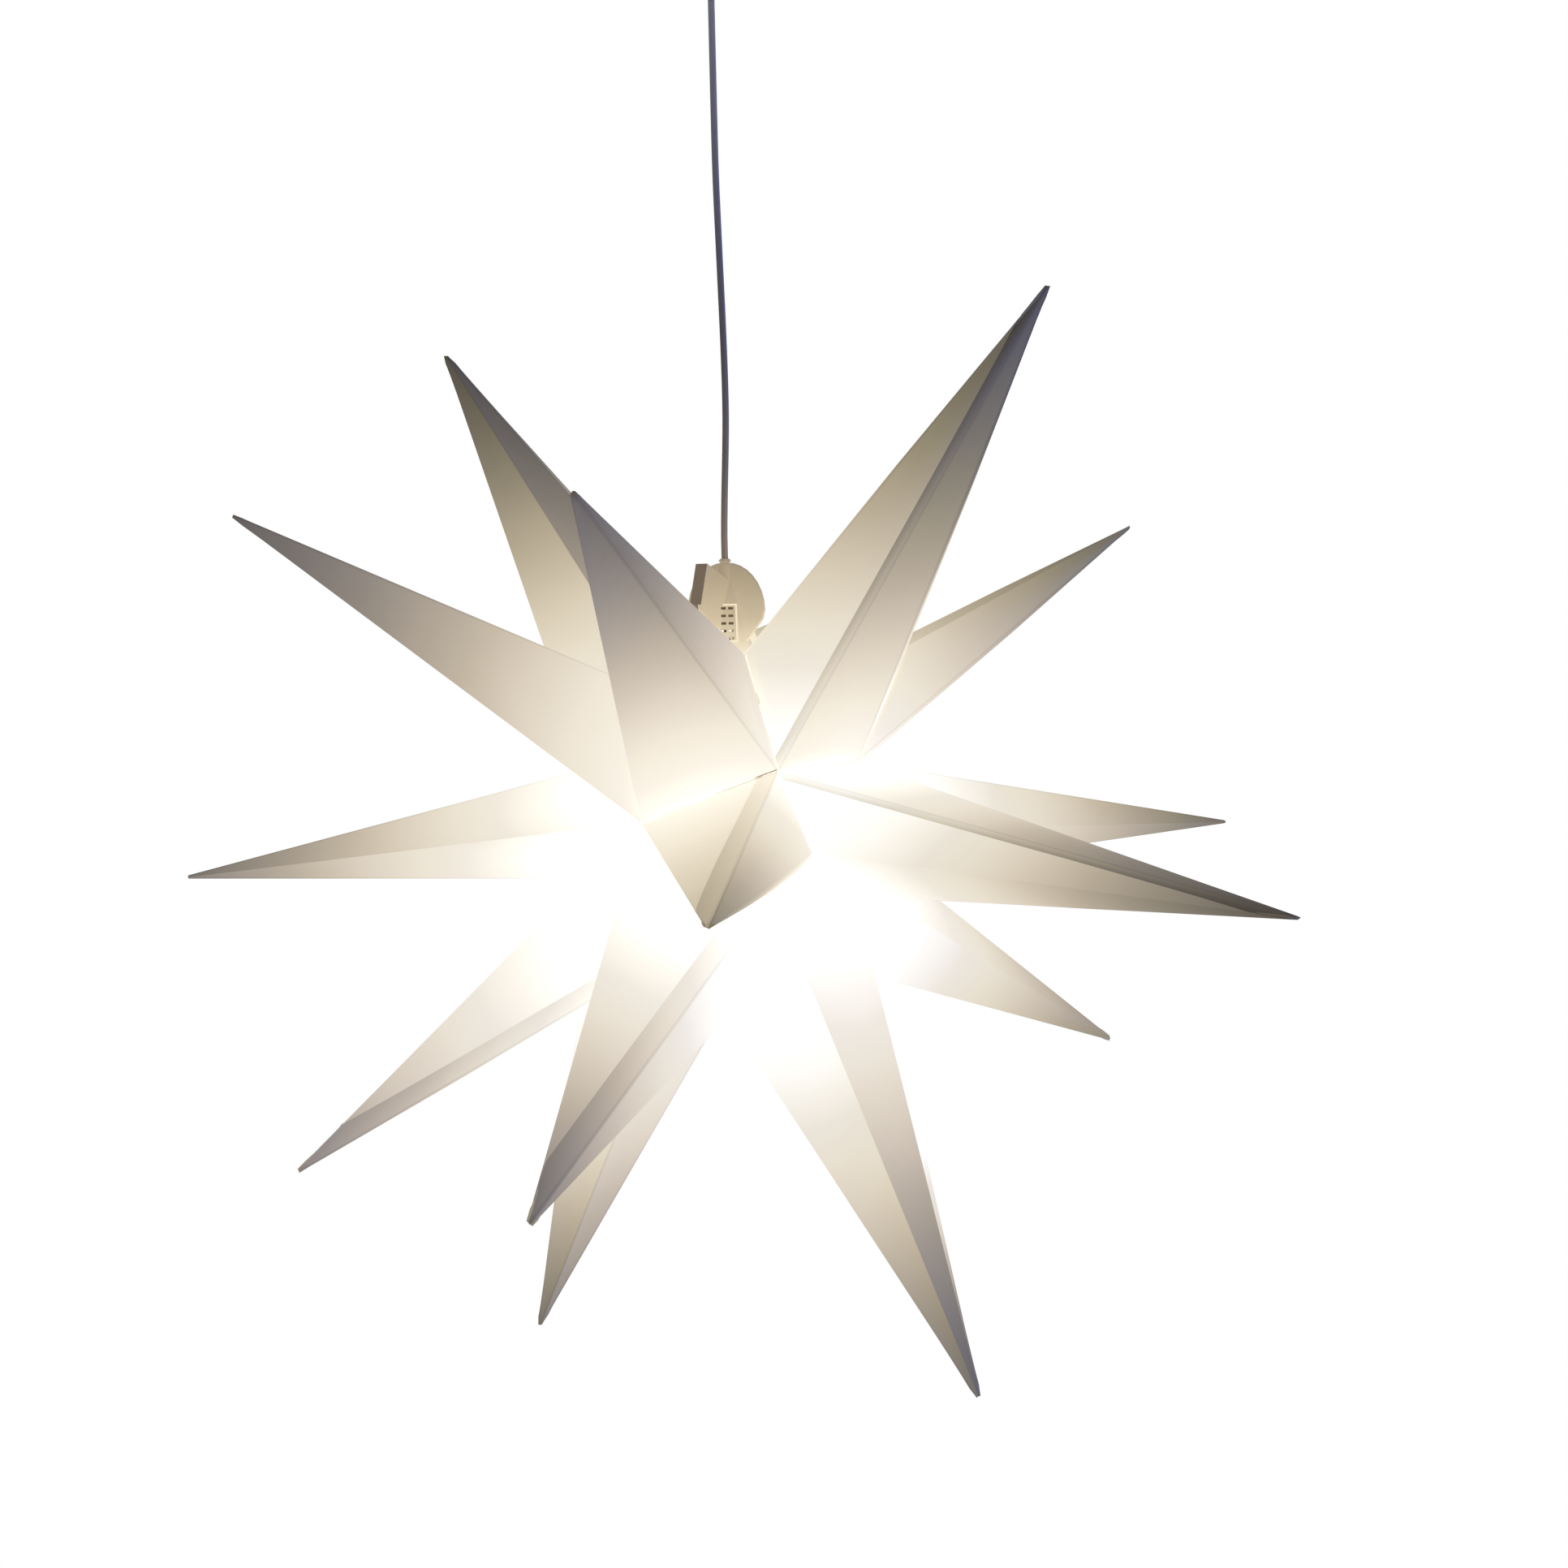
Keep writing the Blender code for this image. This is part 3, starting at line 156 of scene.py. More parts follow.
# How much the room's grey light cools a facet. Below nought, the lamp's own tan shows more than usual
ROOM_LIT = {
    ("front_point_1", 3): 0.45,
    ("back_point_1", 2): -0.50,
    ("rim_point_1", 3): -0.60,
    ("rim_point_1", 4): -0.60,
    ("rim_point_1", 5): -0.30,
    ("front_point_2", 1): -0.15,
    ("front_point_2", 2): -0.50,
    ("rim_point_2", 0): 0.30,
    ("rim_point_2", 1): 0.45,
    ("rim_point_2", 5): 0.20,
    ("front_point_3", 0): 0.60,
    ("back_point_3", 1): -0.60,
    ("front_point_4", 0): 0.55,
    ("rim_point_4", 1): 0.15,
    ("front_point_5", 0): 0.65,
    ("front_point_5", 3): 0.45,
    ("front_point_6", 3): 0.55,
    ("rim_point_6", 3): 0.40,
    ("rim_point_6", 4): 0.30,
}

# Creases with a welded band in sight, by pocket: a crease is the number of its corner and the number of the
# corner on whose side the flap lies
FRONT_CREASES = {1: [(1, 0)], 2: [(1, 0)], 3: [(1, 0)]}
RIM_CREASES = {0: [(4, 3), (5, 0)], 1: [(1, 0), (2, 3)]}
# Points whose welded bands show less than the others', and how much
WELD_SHARES = {"rim_point_1": 0.85, "rim_point_2": 0.90, "front_point_2": 0.85, "front_point_3": 0.85,
               "front_point_4": 0.85}

# Points whose side folds show no line in the photograph
UNLINED = {"back_point_3", "rim_point_3"}

# The cap's tower of four flat vented sides, as in the source: the heights of its foot and top, and how far
# out its sides stand there
TOWER_FOOT, TOWER_TOP = STAR_CENTRE.z + 0.0755, STAR_CENTRE.z + 0.095
TOWER_FOOT_SIDE, TOWER_TOP_SIDE = 0.0092, 0.0056
# The globe's light falls off between these heights of the cap
CAP_BRIGHT, CAP_DIM = STAR_CENTRE.z + 0.066, STAR_CENTRE.z + 0.112
# The front fin's outer face lies beyond this along Y
FIN_FACE = -0.0150

# The free cord's route, from its relief in the cap up into the ceiling grip
CORD_ROUTE = (
    (0, 0, -0.3032), (0, 0, -0.2920), (0.0004, 0.0003, -0.2760), (0.0015, 0.0012, -0.2400),
    (0.0014, 0.0011, -0.2080), (0.0007, 0.0006, -0.1700), (0.0001, 0.0001, -0.1350), (0, 0, -0.1100),
    (0, 0, -0.0800), (0, 0, -0.0500), (0, 0, -0.0250), (0, 0, -0.0065),
)
CORD_STEP = 0.0075
# The lit shade's warm light is painted on the cord's lower end, from wholly to not at all between these
# heights
CORD_WARM, CORD_COOL = -0.305, -0.17

# Size of the soft patches of colour on moulded and drawn solids, of the film's clouds and of the globe's
PATCH, FILM_CLOUD, GLOBE_CLOUD = 0.012, 0.035, 0.01
POLYPROPYLENE_IOR = 1.49
# The factor, the two colours and the result of a Mix node that mixes colours
MIX_SHARE, MIX_FIRST, MIX_SECOND, MIX_RESULT = 0, 6, 7, 2

# The photograph's camera, and how far it sees
CAMERA_PLACE = Vector((0.6659, -0.7672, -0.3201))
CAMERA_RIGHT = Vector((0.7716, 0.6357, -0.0224))
CAMERA_DOWN = Vector((0.0349, -0.0774, -0.9964))
CAMERA_LENS, CAMERA_SENSOR = 51.84, 36
FAR_CLIP = 50

# The window and fill lights: their places and sizes, and the fill's power as a share of the window's
WINDOW_PLACE, WINDOW_SIZE = (1.75, 1.15, -0.95), 1.6
FILL_PLACE, FILL_SIZE, FILL_SHARE = (-0.6, -1.8, 0.9), 2.2, 0.09
# The ceiling cup's three narrow lights: their turns round it, distance, height, beam and softness
CUP_LIGHT_TURNS = (-100, 20, 140)
CUP_LIGHT_DISTANCE, CUP_LIGHT_HEIGHT = 1.2, -0.1
CUP_BEAM, CUP_BEAM_BLEND, CUP_LIGHT_SIZE = math.radians(9), 0.4, 0.12
CUP_MIDDLE = (0, 0, -0.012)


def hex_colour(code):
    """Turns an sRGB hex colour into the linear colour with full alpha that shaders take."""
    channels = [int(code[i:i + 2], 16) / 255 for i in (1, 3, 5)]
    return tuple(c / 12.92 if c <= 0.04045 else ((c + 0.055) / 1.055) ** 2.4 for c in channels) + (1.0,)


def add_node(tree, kind, settings=None, inputs=None, stops=()):
    """Adds one node with its settings, its inputs and, on a colour ramp, its stops.

    An input takes a value, another node's output, or a node for its first output. A stop is a place on the
    ramp and a hex colour.
    """
    node = tree.nodes.new(kind)
    for name, value in (settings or {}).items():
        setattr(node, name, value)
    for name, value in (inputs or {}).items():
        if isinstance(value, bpy.types.Node):
            value = value.outputs[0]
        if isinstance(value, bpy.types.NodeSocket):
            tree.links.new(value, node.inputs[name])
        else:
            node.inputs[name].default_value = value
    if stops:
        elements = node.color_ramp.elements
        while len(elements) < len(stops):
            elements.new(0.5)
        for element, (place, code) in zip(elements, stops):
            element.position = place
            element.color = hex_colour(code)
    return node


def start_material(name):
    """An empty node material and its tree."""
    made = bpy.data.materials.new(name)
    made.use_nodes = True
    made.node_tree.nodes.clear()
    return made, made.node_tree


def end_material(tree, finish):
    """Closes a material with a shader that takes the finish's inputs."""
    shader = add_node(tree, "ShaderNodeBsdfPrincipled", inputs=finish)
    add_node(tree, "ShaderNodeOutputMaterial", inputs={"Surface": shader})


def add_object(name, data, *materials):
    """Links a new object of this data, with its materials."""
    for material in materials:
        data.materials.append(material)
    made = bpy.data.objects.new(name, data)
    bpy.context.scene.collection.objects.link(made)
    return made


def dimmed(tree, light, shares, kind="LINEAR"):
    """A light or a mask, times the share that each row gives.

    A row is a value, its start and end, and the shares that it gives there and beyond.
    """
    for value, start, end, low, high in shares:
        share = add_node(tree, "ShaderNodeMapRange", {"interpolation_type": kind},
                         {"Value": value, "From Min": start, "From Max": end, "To Min": low, "To Max": high})
        light = add_node(tree, "ShaderNodeMath", {"operation": "MULTIPLY"}, {0: light, 1: share})
    return light


def fine_grain(tree, place, size, detail, depth, strength, rough=None, span=(0.3, 0.7)):
    """The shader's inputs for a surface's grain: its bump, and its roughness where that varies.

    Real grain of one or two tenths of a millimetre is too fine to show, so it is drawn coarser.
    """
    grain = add_node(tree, "ShaderNodeTexNoise",
                     inputs={"Vector": place, "Scale": 1 / size, "Detail": detail})
    finish = {"Normal": add_node(tree, "ShaderNodeBump", inputs={"Height": grain, "Distance": depth,
                                                                 "Strength": strength})}
    if rough:
        finish["Roughness"] = add_node(tree, "ShaderNodeMapRange", inputs={
            "Value": grain, "From Min": span[0], "From Max": span[1], "To Min": rough[0],
            "To Max": rough[1]})
    return finish


def solid_finish(name, light, dark, rough, grain, metallic=0.0, glow=0.0):
    """A moulded or drawn solid: two near colours in soft patches, and a fine grain.

    Glow is the strength of the globe's light in it, nought where none comes through.
    """
    made, tree = start_material(name)
    place = add_node(tree, "ShaderNodeTexCoord").outputs["Object"]
    patches = add_node(tree, "ShaderNodeTexNoise",
                       inputs={"Vector": place, "Scale": 1 / PATCH, "Detail": 3.0})
    tone = add_node(tree, "ShaderNodeValToRGB", inputs={"Fac": patches}, stops=[(0.3, dark), (0.7, light)])
    finish = fine_grain(tree, place, grain, detail=4.0, depth=0.00002, strength=0.6, rough=rough,
                        span=(0.0, 1.0))
    finish |= {"Base Color": tone, "Metallic": metallic}
    if glow:
        finish |= {"Emission Color": tone, "Emission Strength": glow}
    end_material(tree, finish)
    return made


def ring_place(angle, radius, depth):
    """A point round the fold axis: angle is turned from +X towards +Z, depth is along Y."""
    return Vector((radius * math.cos(angle), depth, radius * math.sin(angle)))


def pocket_angle(pocket):
    """The turn of a pocket's middle, from the first pocket beside the cap round to the last."""
    step = (2 * math.pi - END_SPREAD) / (POCKETS - 1)
    return math.pi / 2 - END_SPREAD / 2 - step * pocket


def valley(edge, side):
    """The inner corner between two pockets, or beside the cap's mouth. Side is -1 in front, 1 behind."""
    if edge == 0:
        angle = math.pi / 2 - MOUTH_ANGLE / 2
    elif edge == POCKETS:
        angle = math.pi / 2 + MOUTH_ANGLE / 2 - 2 * math.pi
    else:
        angle = (pocket_angle(edge - 1) + pocket_angle(edge)) / 2
    return ring_place(angle, VALLEY_RADIUS, side * VALLEY_DEPTH)


def saddle(pocket, side):
    """The outer corner that a pocket's rim point shares with its front or back point."""
    return ring_place(pocket_angle(pocket), SADDLE_RADIUS, side * SADDLE_DEPTH)


def tip_of(name, pocket, side):
    """The tip of a point, with its photographed bend. Side is -1 in front, 0 at the rim and 1 behind."""
    outward = ring_place(pocket_angle(pocket), 1, 0)
    sideways = Vector((-outward.z, 0, outward.x))
    if side == 0:
        along, tilted, reach = outward, Vector((0, 1, 0)), RIM_REACH
    else:
        axis = Vector((0, side, 0))
        along = math.sin(POLE_TILT) * outward + math.cos(POLE_TILT) * axis
        tilted = math.cos(POLE_TILT) * outward - math.sin(POLE_TILT) * axis
        reach = POLE_REACH
    bent_sideways, bent_out, longer = BEND_SHARES.get(name, (0, 0, 0))
    return (along * (1 + longer) + sideways * bent_sideways + tilted * bent_out) * reach


def shade_points():
    """Name, tip, base corners and welded creases of each point, about the star's middle."""
    for pocket in range(POCKETS):
        before, after = pocket, pocket + 1
        for side, word in ((-1, "front"), (1, "back")):
            name = f"{word}_point_{pocket + 1}"
            corners = [Vector((0, side * POLE_DEPTH, 0)), valley(before, side), saddle(pocket, side),
                       valley(after, side)]
            creases = FRONT_CREASES.get(pocket, []) if side < 0 else []
            yield name, tip_of(name, pocket, side), corners, creases
        name = f"rim_point_{pocket + 1}"
        corners = [saddle(pocket, -1), valley(before, -1), valley(before, 1), saddle(pocket, 1),
                   valley(after, 1), valley(after, -1)]
        yield name, tip_of(name, pocket, 0), corners, RIM_CREASES.get(pocket, [])


def sleeve(tip, corners, cuts_across, cuts_along):
    """A foil sleeve of flat facets from a point's base corners to its blunt tip, cut into small squares.

    Each face keeps the number of its facet, which runs from that corner to the next.
    """
    bm = bmesh.new()
    # The cone's own size doesn't count, because each of its corners is then put in its real place
    bmesh.ops.create_cone(bm, cap_ends=False, segments=len(corners), radius1=2, radius2=1, depth=2)
    centre = sum(corners, Vector()) / len(corners)
    axis = (tip - centre).normalized()
    spread = max((corner - centre).length for corner in corners)
    short = TIP_OPENING * (tip - centre).length / (2 * spread)

    def turn_of(vertex):
        return math.atan2(vertex.co.y, vertex.co.x) % (2 * math.pi)

    lows = sorted((v for v in bm.verts if v.co.z < 0), key=turn_of)
    highs = sorted((v for v in bm.verts if v.co.z > 0), key=turn_of)
    facet_of = bm.faces.layers.int.new("facet")
    for face in bm.faces:
        found = [i for i, v in enumerate(lows) if v in face.verts]
        face[facet_of] = found[1] if found == [0, len(corners) - 1] else found[0]
    rings = [e for e in bm.edges if (e.verts[0] in lows) == (e.verts[1] in lows)]
    for low, high, corner in zip(lows, highs, corners):
        away = (tip - corner).normalized()
        low.co = STAR_CENTRE + corner + away * FOLD_GAP
        high.co = STAR_CENTRE + tip - away * short + axis * short * TIP_REACH
    bmesh.ops.subdivide_edges(bm, edges=rings, cuts=cuts_across, use_grid_fill=True)
    middle = STAR_CENTRE + (centre + tip) / 2
    lengthways = [e for e in bm.edges
                  if ((e.verts[0].co - middle).dot(axis) > 0) != ((e.verts[1].co - middle).dot(axis) > 0)]
    bmesh.ops.subdivide_edges(bm, edges=lengthways, cuts=cuts_along, use_grid_fill=True)
    bm.normal_update()
    for face in bm.faces:
        out = face.calc_center_median() - middle
        out -= axis * out.dot(axis)
        if face.normal.dot(out) < 0:
            face.normal_flip()
    return bm, facet_of


def across_facet(tip, corner, other):
    """The direction in a facet, square to the fold tip-corner, towards the other corner."""
    along = (corner - tip).normalized()
    side = other - tip
    return (side - along * side.dot(along)).normalized()


def build_point(name, tip, corners, creases, sizes, material):
    """One foil point: flat facets with a slight crown, crisp folds, doubled weld flaps and a blunt tip."""
    bm, facet_of = sleeve(tip, corners, sizes.cuts_across, sizes.cuts_along)
    weld_flaps(bm, facet_of, name, tip, corners, creases, sizes)
    frames = []
    for first, second in zip(corners, corners[1:] + corners[:1]):
        frames.append((STAR_CENTRE + first, across_facet(tip, first, second),
                       STAR_CENTRE + second, across_facet(tip, second, first)))
    mark_folds(bm, facet_of, name, frames)
    crown_facets(bm, facet_of, frames, tip, sizes.crown)
    light_facets(bm, facet_of, name, tip)
    for edge in bm.edges:
        edge.smooth = len({face[facet_of] for face in edge.link_faces}) == 1
    for face in bm.faces:
        face.smooth = True
    data = bpy.data.meshes.new(name + "_foil")
    bm.to_mesh(data)
    bm.free()
    made = add_object(name + "_foil", data, material)
    wall = made.modifiers.new("foil", "SOLIDIFY")
    wall.thickness = sizes.foil
    wall.offset = -1
    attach(made, "star")
    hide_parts(name)


def weld_flaps(bm, facet_of, name, tip, corners, creases, sizes):
    """Cuts each flap's inner edge into its facet, and gives the flap the attribute weld."""
    weld = bm.loops.layers.float.new("weld")
    rim = name.startswith("rim")
    outer = FLAP_INSET + (sizes.rim_flap if rim else sizes.pole_flap)
    least, most = (WELD_SHARES.get(name, 1.0) * share for share in (RIM_WELD if rim else POLE_WELD))
    count = len(corners)
    for crease, other in creases:
        facet = crease if (crease + 1) % count == other else other
        square = across_facet(tip, corners[crease], corners[other])
        start = STAR_CENTRE + corners[crease]
        faces = [f for f in bm.faces if f[facet_of] == facet]
        around = {item for f in faces for item in [f, *f.edges, *f.verts]}
        bmesh.ops.bisect_plane(bm, geom=list(around), plane_co=start + square * outer, plane_no=square)
        for face in bm.faces:
            if face[facet_of] == facet and (face.calc_center_median() - start).dot(square) < outer:
                for loop in face.loops:
                    loop[weld] = least + (most - least) * (loop.vert.co - start).dot(square) / outer


def mark_folds(bm, facet_of, name, frames):
    """Gives each face corner its distances from its facet's two folds, as the UV map folds."""
    folds = bm.loops.layers.uv.new("folds")
    valleys = () if name in UNLINED else RIM_VALLEYS if name.startswith("rim") else POLE_VALLEYS
    for face in bm.faces:
        facet = face[facet_of]
        first, square, second, other_square = frames[facet]
        clear = [0 if crease % len(frames) in valleys else FOLD_CLEAR for crease in (facet, facet + 1)]
        for loop in face.loops:
            loop[folds].uv = ((loop.vert.co - first).dot(square) + clear[0],
                              (loop.vert.co - second).dot(other_square) + clear[1])


def crown_facets(bm, facet_of, frames, tip, crown):
    """Pushes the middle of each facet out a little, because folded foil springs into a slight crown."""
    moves = []
    for vertex in bm.verts:
        facets = {face[facet_of] for face in vertex.link_faces}
        if len(facets) != 1 or vertex.is_boundary:
            continue
        first, square, second, other_square = frames[facets.pop()]
        left, right = (vertex.co - first).dot(square), (vertex.co - second).dot(other_square)
        width = left + right
        if width < LEAST_WIDTH:
            continue
        height = (vertex.co - STAR_CENTRE - tip).length / tip.length
        rise = vertex.normal * crown * CROWN_PEAK * left * right / width ** 2
        moves.append((vertex, rise * min(1, CROWN_RISE * height)))
    for vertex, move in moves:
        vertex.co += move


def light_facets(bm, facet_of, name, tip):
    """Gives each face corner the depth of the globe's light in its foil, as the attribute light.

    Points that hang low pass more light than those beside the cap and the holder, and a rim point's narrow
    facets pass less than its wide ones. The attribute room holds each facet's share of the room's grey
    light.
    """
    light = bm.loops.layers.float.new("light")
    room = bm.loops.layers.float.new("room")
    rim = name.startswith("rim")
    rise = tip.normalized().z
    loss = HANGING_GAIN if rise < 0 else RISING_RIM_LOSS if rim else RISING_POLE_LOSS
    for face in bm.faces:
        facet = face[facet_of]
        usual = POLE_FACET if not rim else NARROW_FACET if facet in NARROW_FACETS else RIM_FACET
        share, length = LIGHT_SHARES.get((name, facet), usual)
        for loop in face.loops:
            beyond = (loop.vert.co - GLOBE_CENTRE).length - LIT_REACH
            direct = (LEVEL_LIGHT - loss * rise) * share * math.exp(-beyond / length)
            loop[light] = min(MOST_LIGHT, direct + STRAY_LIGHT)
            loop[room] = ROOM_LIT.get((name, facet), 0.0)


def die_cut_shade(tree, place):
    """One inside the die-cut slit, where two front films tuck under each other at a valley, else nought."""
    end = STAR_CENTRE + valley(1, -1)
    along_fold = (STAR_CENTRE + Vector((0, -POLE_DEPTH, 0)) - end).normalized()
    offset = add_node(tree, "ShaderNodeVectorMath", {"operation": "SUBTRACT"}, {0: place, 1: end})
    along = add_node(tree, "ShaderNodeVectorMath", {"operation": "DOT_PRODUCT"},
                     {0: offset, 1: along_fold}).outputs["Value"]
    aside = add_node(tree, "ShaderNodeVectorMath", {"operation": "CROSS_PRODUCT"},
                     {0: offset, 1: along_fold})
    away = add_node(tree, "ShaderNodeVectorMath", {"operation": "LENGTH"}, {0: aside}).outputs["Value"]
    return dimmed(tree, 1.0, [
        (away, SLIT_WIDTH, SLIT_WIDTH + SLIT_SIDE_FADE, 1.0, 0.0),
        (along, 0.0, SLIT_START_FADE, 0.0, 1.0),
        (along, SLIT_LENGTH, SLIT_LENGTH + SLIT_END_FADE, 1.0, 0.0),
    ])


def foil_finish(colours):
    """Pearl polypropylene film, calendered matt, lit from inside.

    The globe's light in the film is painted in as glow. The eye sees white where the globe is near, then
    cream, tan and at last a dark tip, because less light reaches the film far from the globe, and facets
    that face the room are greyer. Welded flaps are two films thick, so they pass less of the painted light
    and look darker, most at their inner edge. Folds at the valleys show as fine lines of painted shade, also
    where the film is nearly white.
    """
    made, tree = start_material("pearl_polypropylene_film_calendered")
    place = add_node(tree, "ShaderNodeTexCoord").outputs["Object"]
    light, weld, room = (add_node(tree, "ShaderNodeAttribute", {"attribute_name": name}).outputs["Fac"]
                         for name in ("light", "weld", "room"))
    folds = add_node(tree, "ShaderNodeUVMap", {"uv_map": "folds"})
    sides = add_node(tree, "ShaderNodeSeparateXYZ", inputs={"Vector": folds}).outputs
    nearest = add_node(tree, "ShaderNodeMath", {"operation": "MINIMUM"}, {0: sides["X"], 1: sides["Y"]})
    clouds = add_node(tree, "ShaderNodeTexNoise",
                      inputs={"Vector": place, "Scale": 1 / FILM_CLOUD, "Detail": 3.0})
    # Painted shade along the valley folds and over the weld flaps, and soft random clouds in the light
    light = dimmed(tree, light, [(nearest, *FOLD_LINE, colours.fold_shade, 1.0)], "SMOOTHSTEP")
    light = dimmed(tree, light, [
        (weld, 0.0, POLE_WELD[0], 1.0, colours.weld_shade),
        (weld, POLE_WELD[0], RIM_WELD[1], 1.0, INNER_EDGE_LIGHT),
        (clouds, 0.3, 0.7, 0.97, 1.03),
    ])
    # The more light there is in the film, the nearer what the eye sees comes to white, without passing it
    depth = add_node(tree, "ShaderNodeMath", {"operation": "MULTIPLY"}, {0: light, 1: -1.0})
    kept = add_node(tree, "ShaderNodeMath", {"operation": "EXPONENT"}, {0: depth})
    passed = add_node(tree, "ShaderNodeMath", {"operation": "SUBTRACT"}, {0: 1.0, 1: kept})
    beside_globe = [(0.93, "#f2ede1"), (0.98, colours.core)]
    own = add_node(tree, "ShaderNodeValToRGB", inputs={"Fac": passed}, stops=[
        (0.05, colours.tip), (0.105, "#524b37"), (0.18, colours.outer), (0.26, "#8c826a"),
        (0.34, colours.tan), (0.46, "#bbae95"), (0.60, colours.cream), (0.75, "#e1d8c3"),
        (0.86, colours.warm), *beside_globe])
    cooled = add_node(tree, "ShaderNodeValToRGB", inputs={"Fac": passed}, stops=[
        (0.05, colours.cool_tip), (0.105, "#4d484a"), (0.18, colours.cool_outer), (0.26, "#89817f"),
        (0.34, "#9f958d"), (0.46, "#b9ad9e"), (0.60, "#d2c7b9"), (0.75, "#e1d9cc"),
        (0.86, "#e4ded4"), *beside_globe])
    tone = add_node(tree, "ShaderNodeMix", {"data_type": "RGBA", "clamp_factor": False},
                    {MIX_SHARE: room, MIX_FIRST: own, MIX_SECOND: cooled}).outputs[MIX_RESULT]
    # The die-cut slit's painted brown shade over the film's tone
    tone = add_node(tree, "ShaderNodeMix", {"data_type": "RGBA"}, {
        MIX_SHARE: die_cut_shade(tree, place), MIX_FIRST: tone,
        MIX_SECOND: hex_colour(colours.slit)}).outputs[MIX_RESULT]
    # Folds and welds keep a little of their shade where the film is nearly white
    strength = dimmed(tree, 1.0, [(nearest, *FOLD_TRACE, 0.90, 1.0)], "SMOOTHSTEP")
    strength = dimmed(tree, strength, [(weld, 0.0, 1.0, 1.0, 0.80), (weld, 0.90, 1.0, 1.0, 0.88)])
    end_material(tree, {
        "Base Color": hex_colour(colours.film), "Emission Color": tone, "Emission Strength": strength,
        "IOR": POLYPROPYLENE_IOR, "Specular IOR Level": 0.35,
        **fine_grain(tree, place, 0.0008, detail=2.0, depth=0.00003, strength=0.35, rough=(0.45, 0.62))})
    return made


def smooth_route(route, step):
    """A Catmull-Rom line through the route, with points about one step apart."""
    points = [Vector(p) for p in route]
    ends = [2 * points[0] - points[1], *points, 2 * points[-1] - points[-2]]
    line = [points[0]]
    for a, b, c, d in zip(ends, ends[1:], ends[2:], ends[3:]):
        pieces = max(1, round((c - b).length / step))
        for i in range(1, pieces + 1):
            t = i / pieces
            line.append(0.5 * (2 * b + (c - a) * t + (2 * a - 5 * b + 4 * c - d) * t ** 2
                               + (3 * b - a - 3 * c + d) * t ** 3))
    return line


def build_cord(sizes):
    """The free cord as one open curve, from the cap's relief up into the ceiling grip."""
    line = smooth_route(CORD_ROUTE, CORD_STEP)
    data = bpy.data.curves.new("cord_flex", "CURVE")
    data.dimensions = "3D"
    data.bevel_depth = sizes.diameter / 2
    data.bevel_resolution = 5
    spline = data.splines.new("POLY")
    spline.points.add(len(line) - 1)
    for point, place in zip(spline.points, line):
        point.co = (*place, 1)
    spline.use_smooth = True
    made = add_object("cord_flex", data, cord_finish())
    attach(made, "star")
    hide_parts("cord")


def cord_finish():
    """Pale PVC sheath, extruded, dim beside the lit shade: the eye sees slate, and brown near the cap.

    The brown is the shade's warm light, painted into the sheath's colour.
    """
    made, tree = start_material("pvc_cord_sheath_extruded")
    place = add_node(tree, "ShaderNodeTexCoord").outputs["Object"]
    height = add_node(tree, "ShaderNodeSeparateXYZ", inputs={"Vector": place}).outputs["Z"]
    # The lit shade's painted warm light, fading out up the cord
    share = add_node(tree, "ShaderNodeMapRange",
                     inputs={"Value": height, "From Min": CORD_WARM, "From Max": CORD_COOL})
    tone = add_node(tree, "ShaderNodeValToRGB", inputs={"Fac": share},
                    stops=[(0.0, "#d6c8b8"), (0.35, "#bdb5b0"), (1.0, "#b4b2bd")])
    end_material(tree, {"Base Color": tone, "Roughness": 0.42,
                        **fine_grain(tree, place, 0.0006, detail=2.0, depth=0.00003, strength=0.3)})
    return made


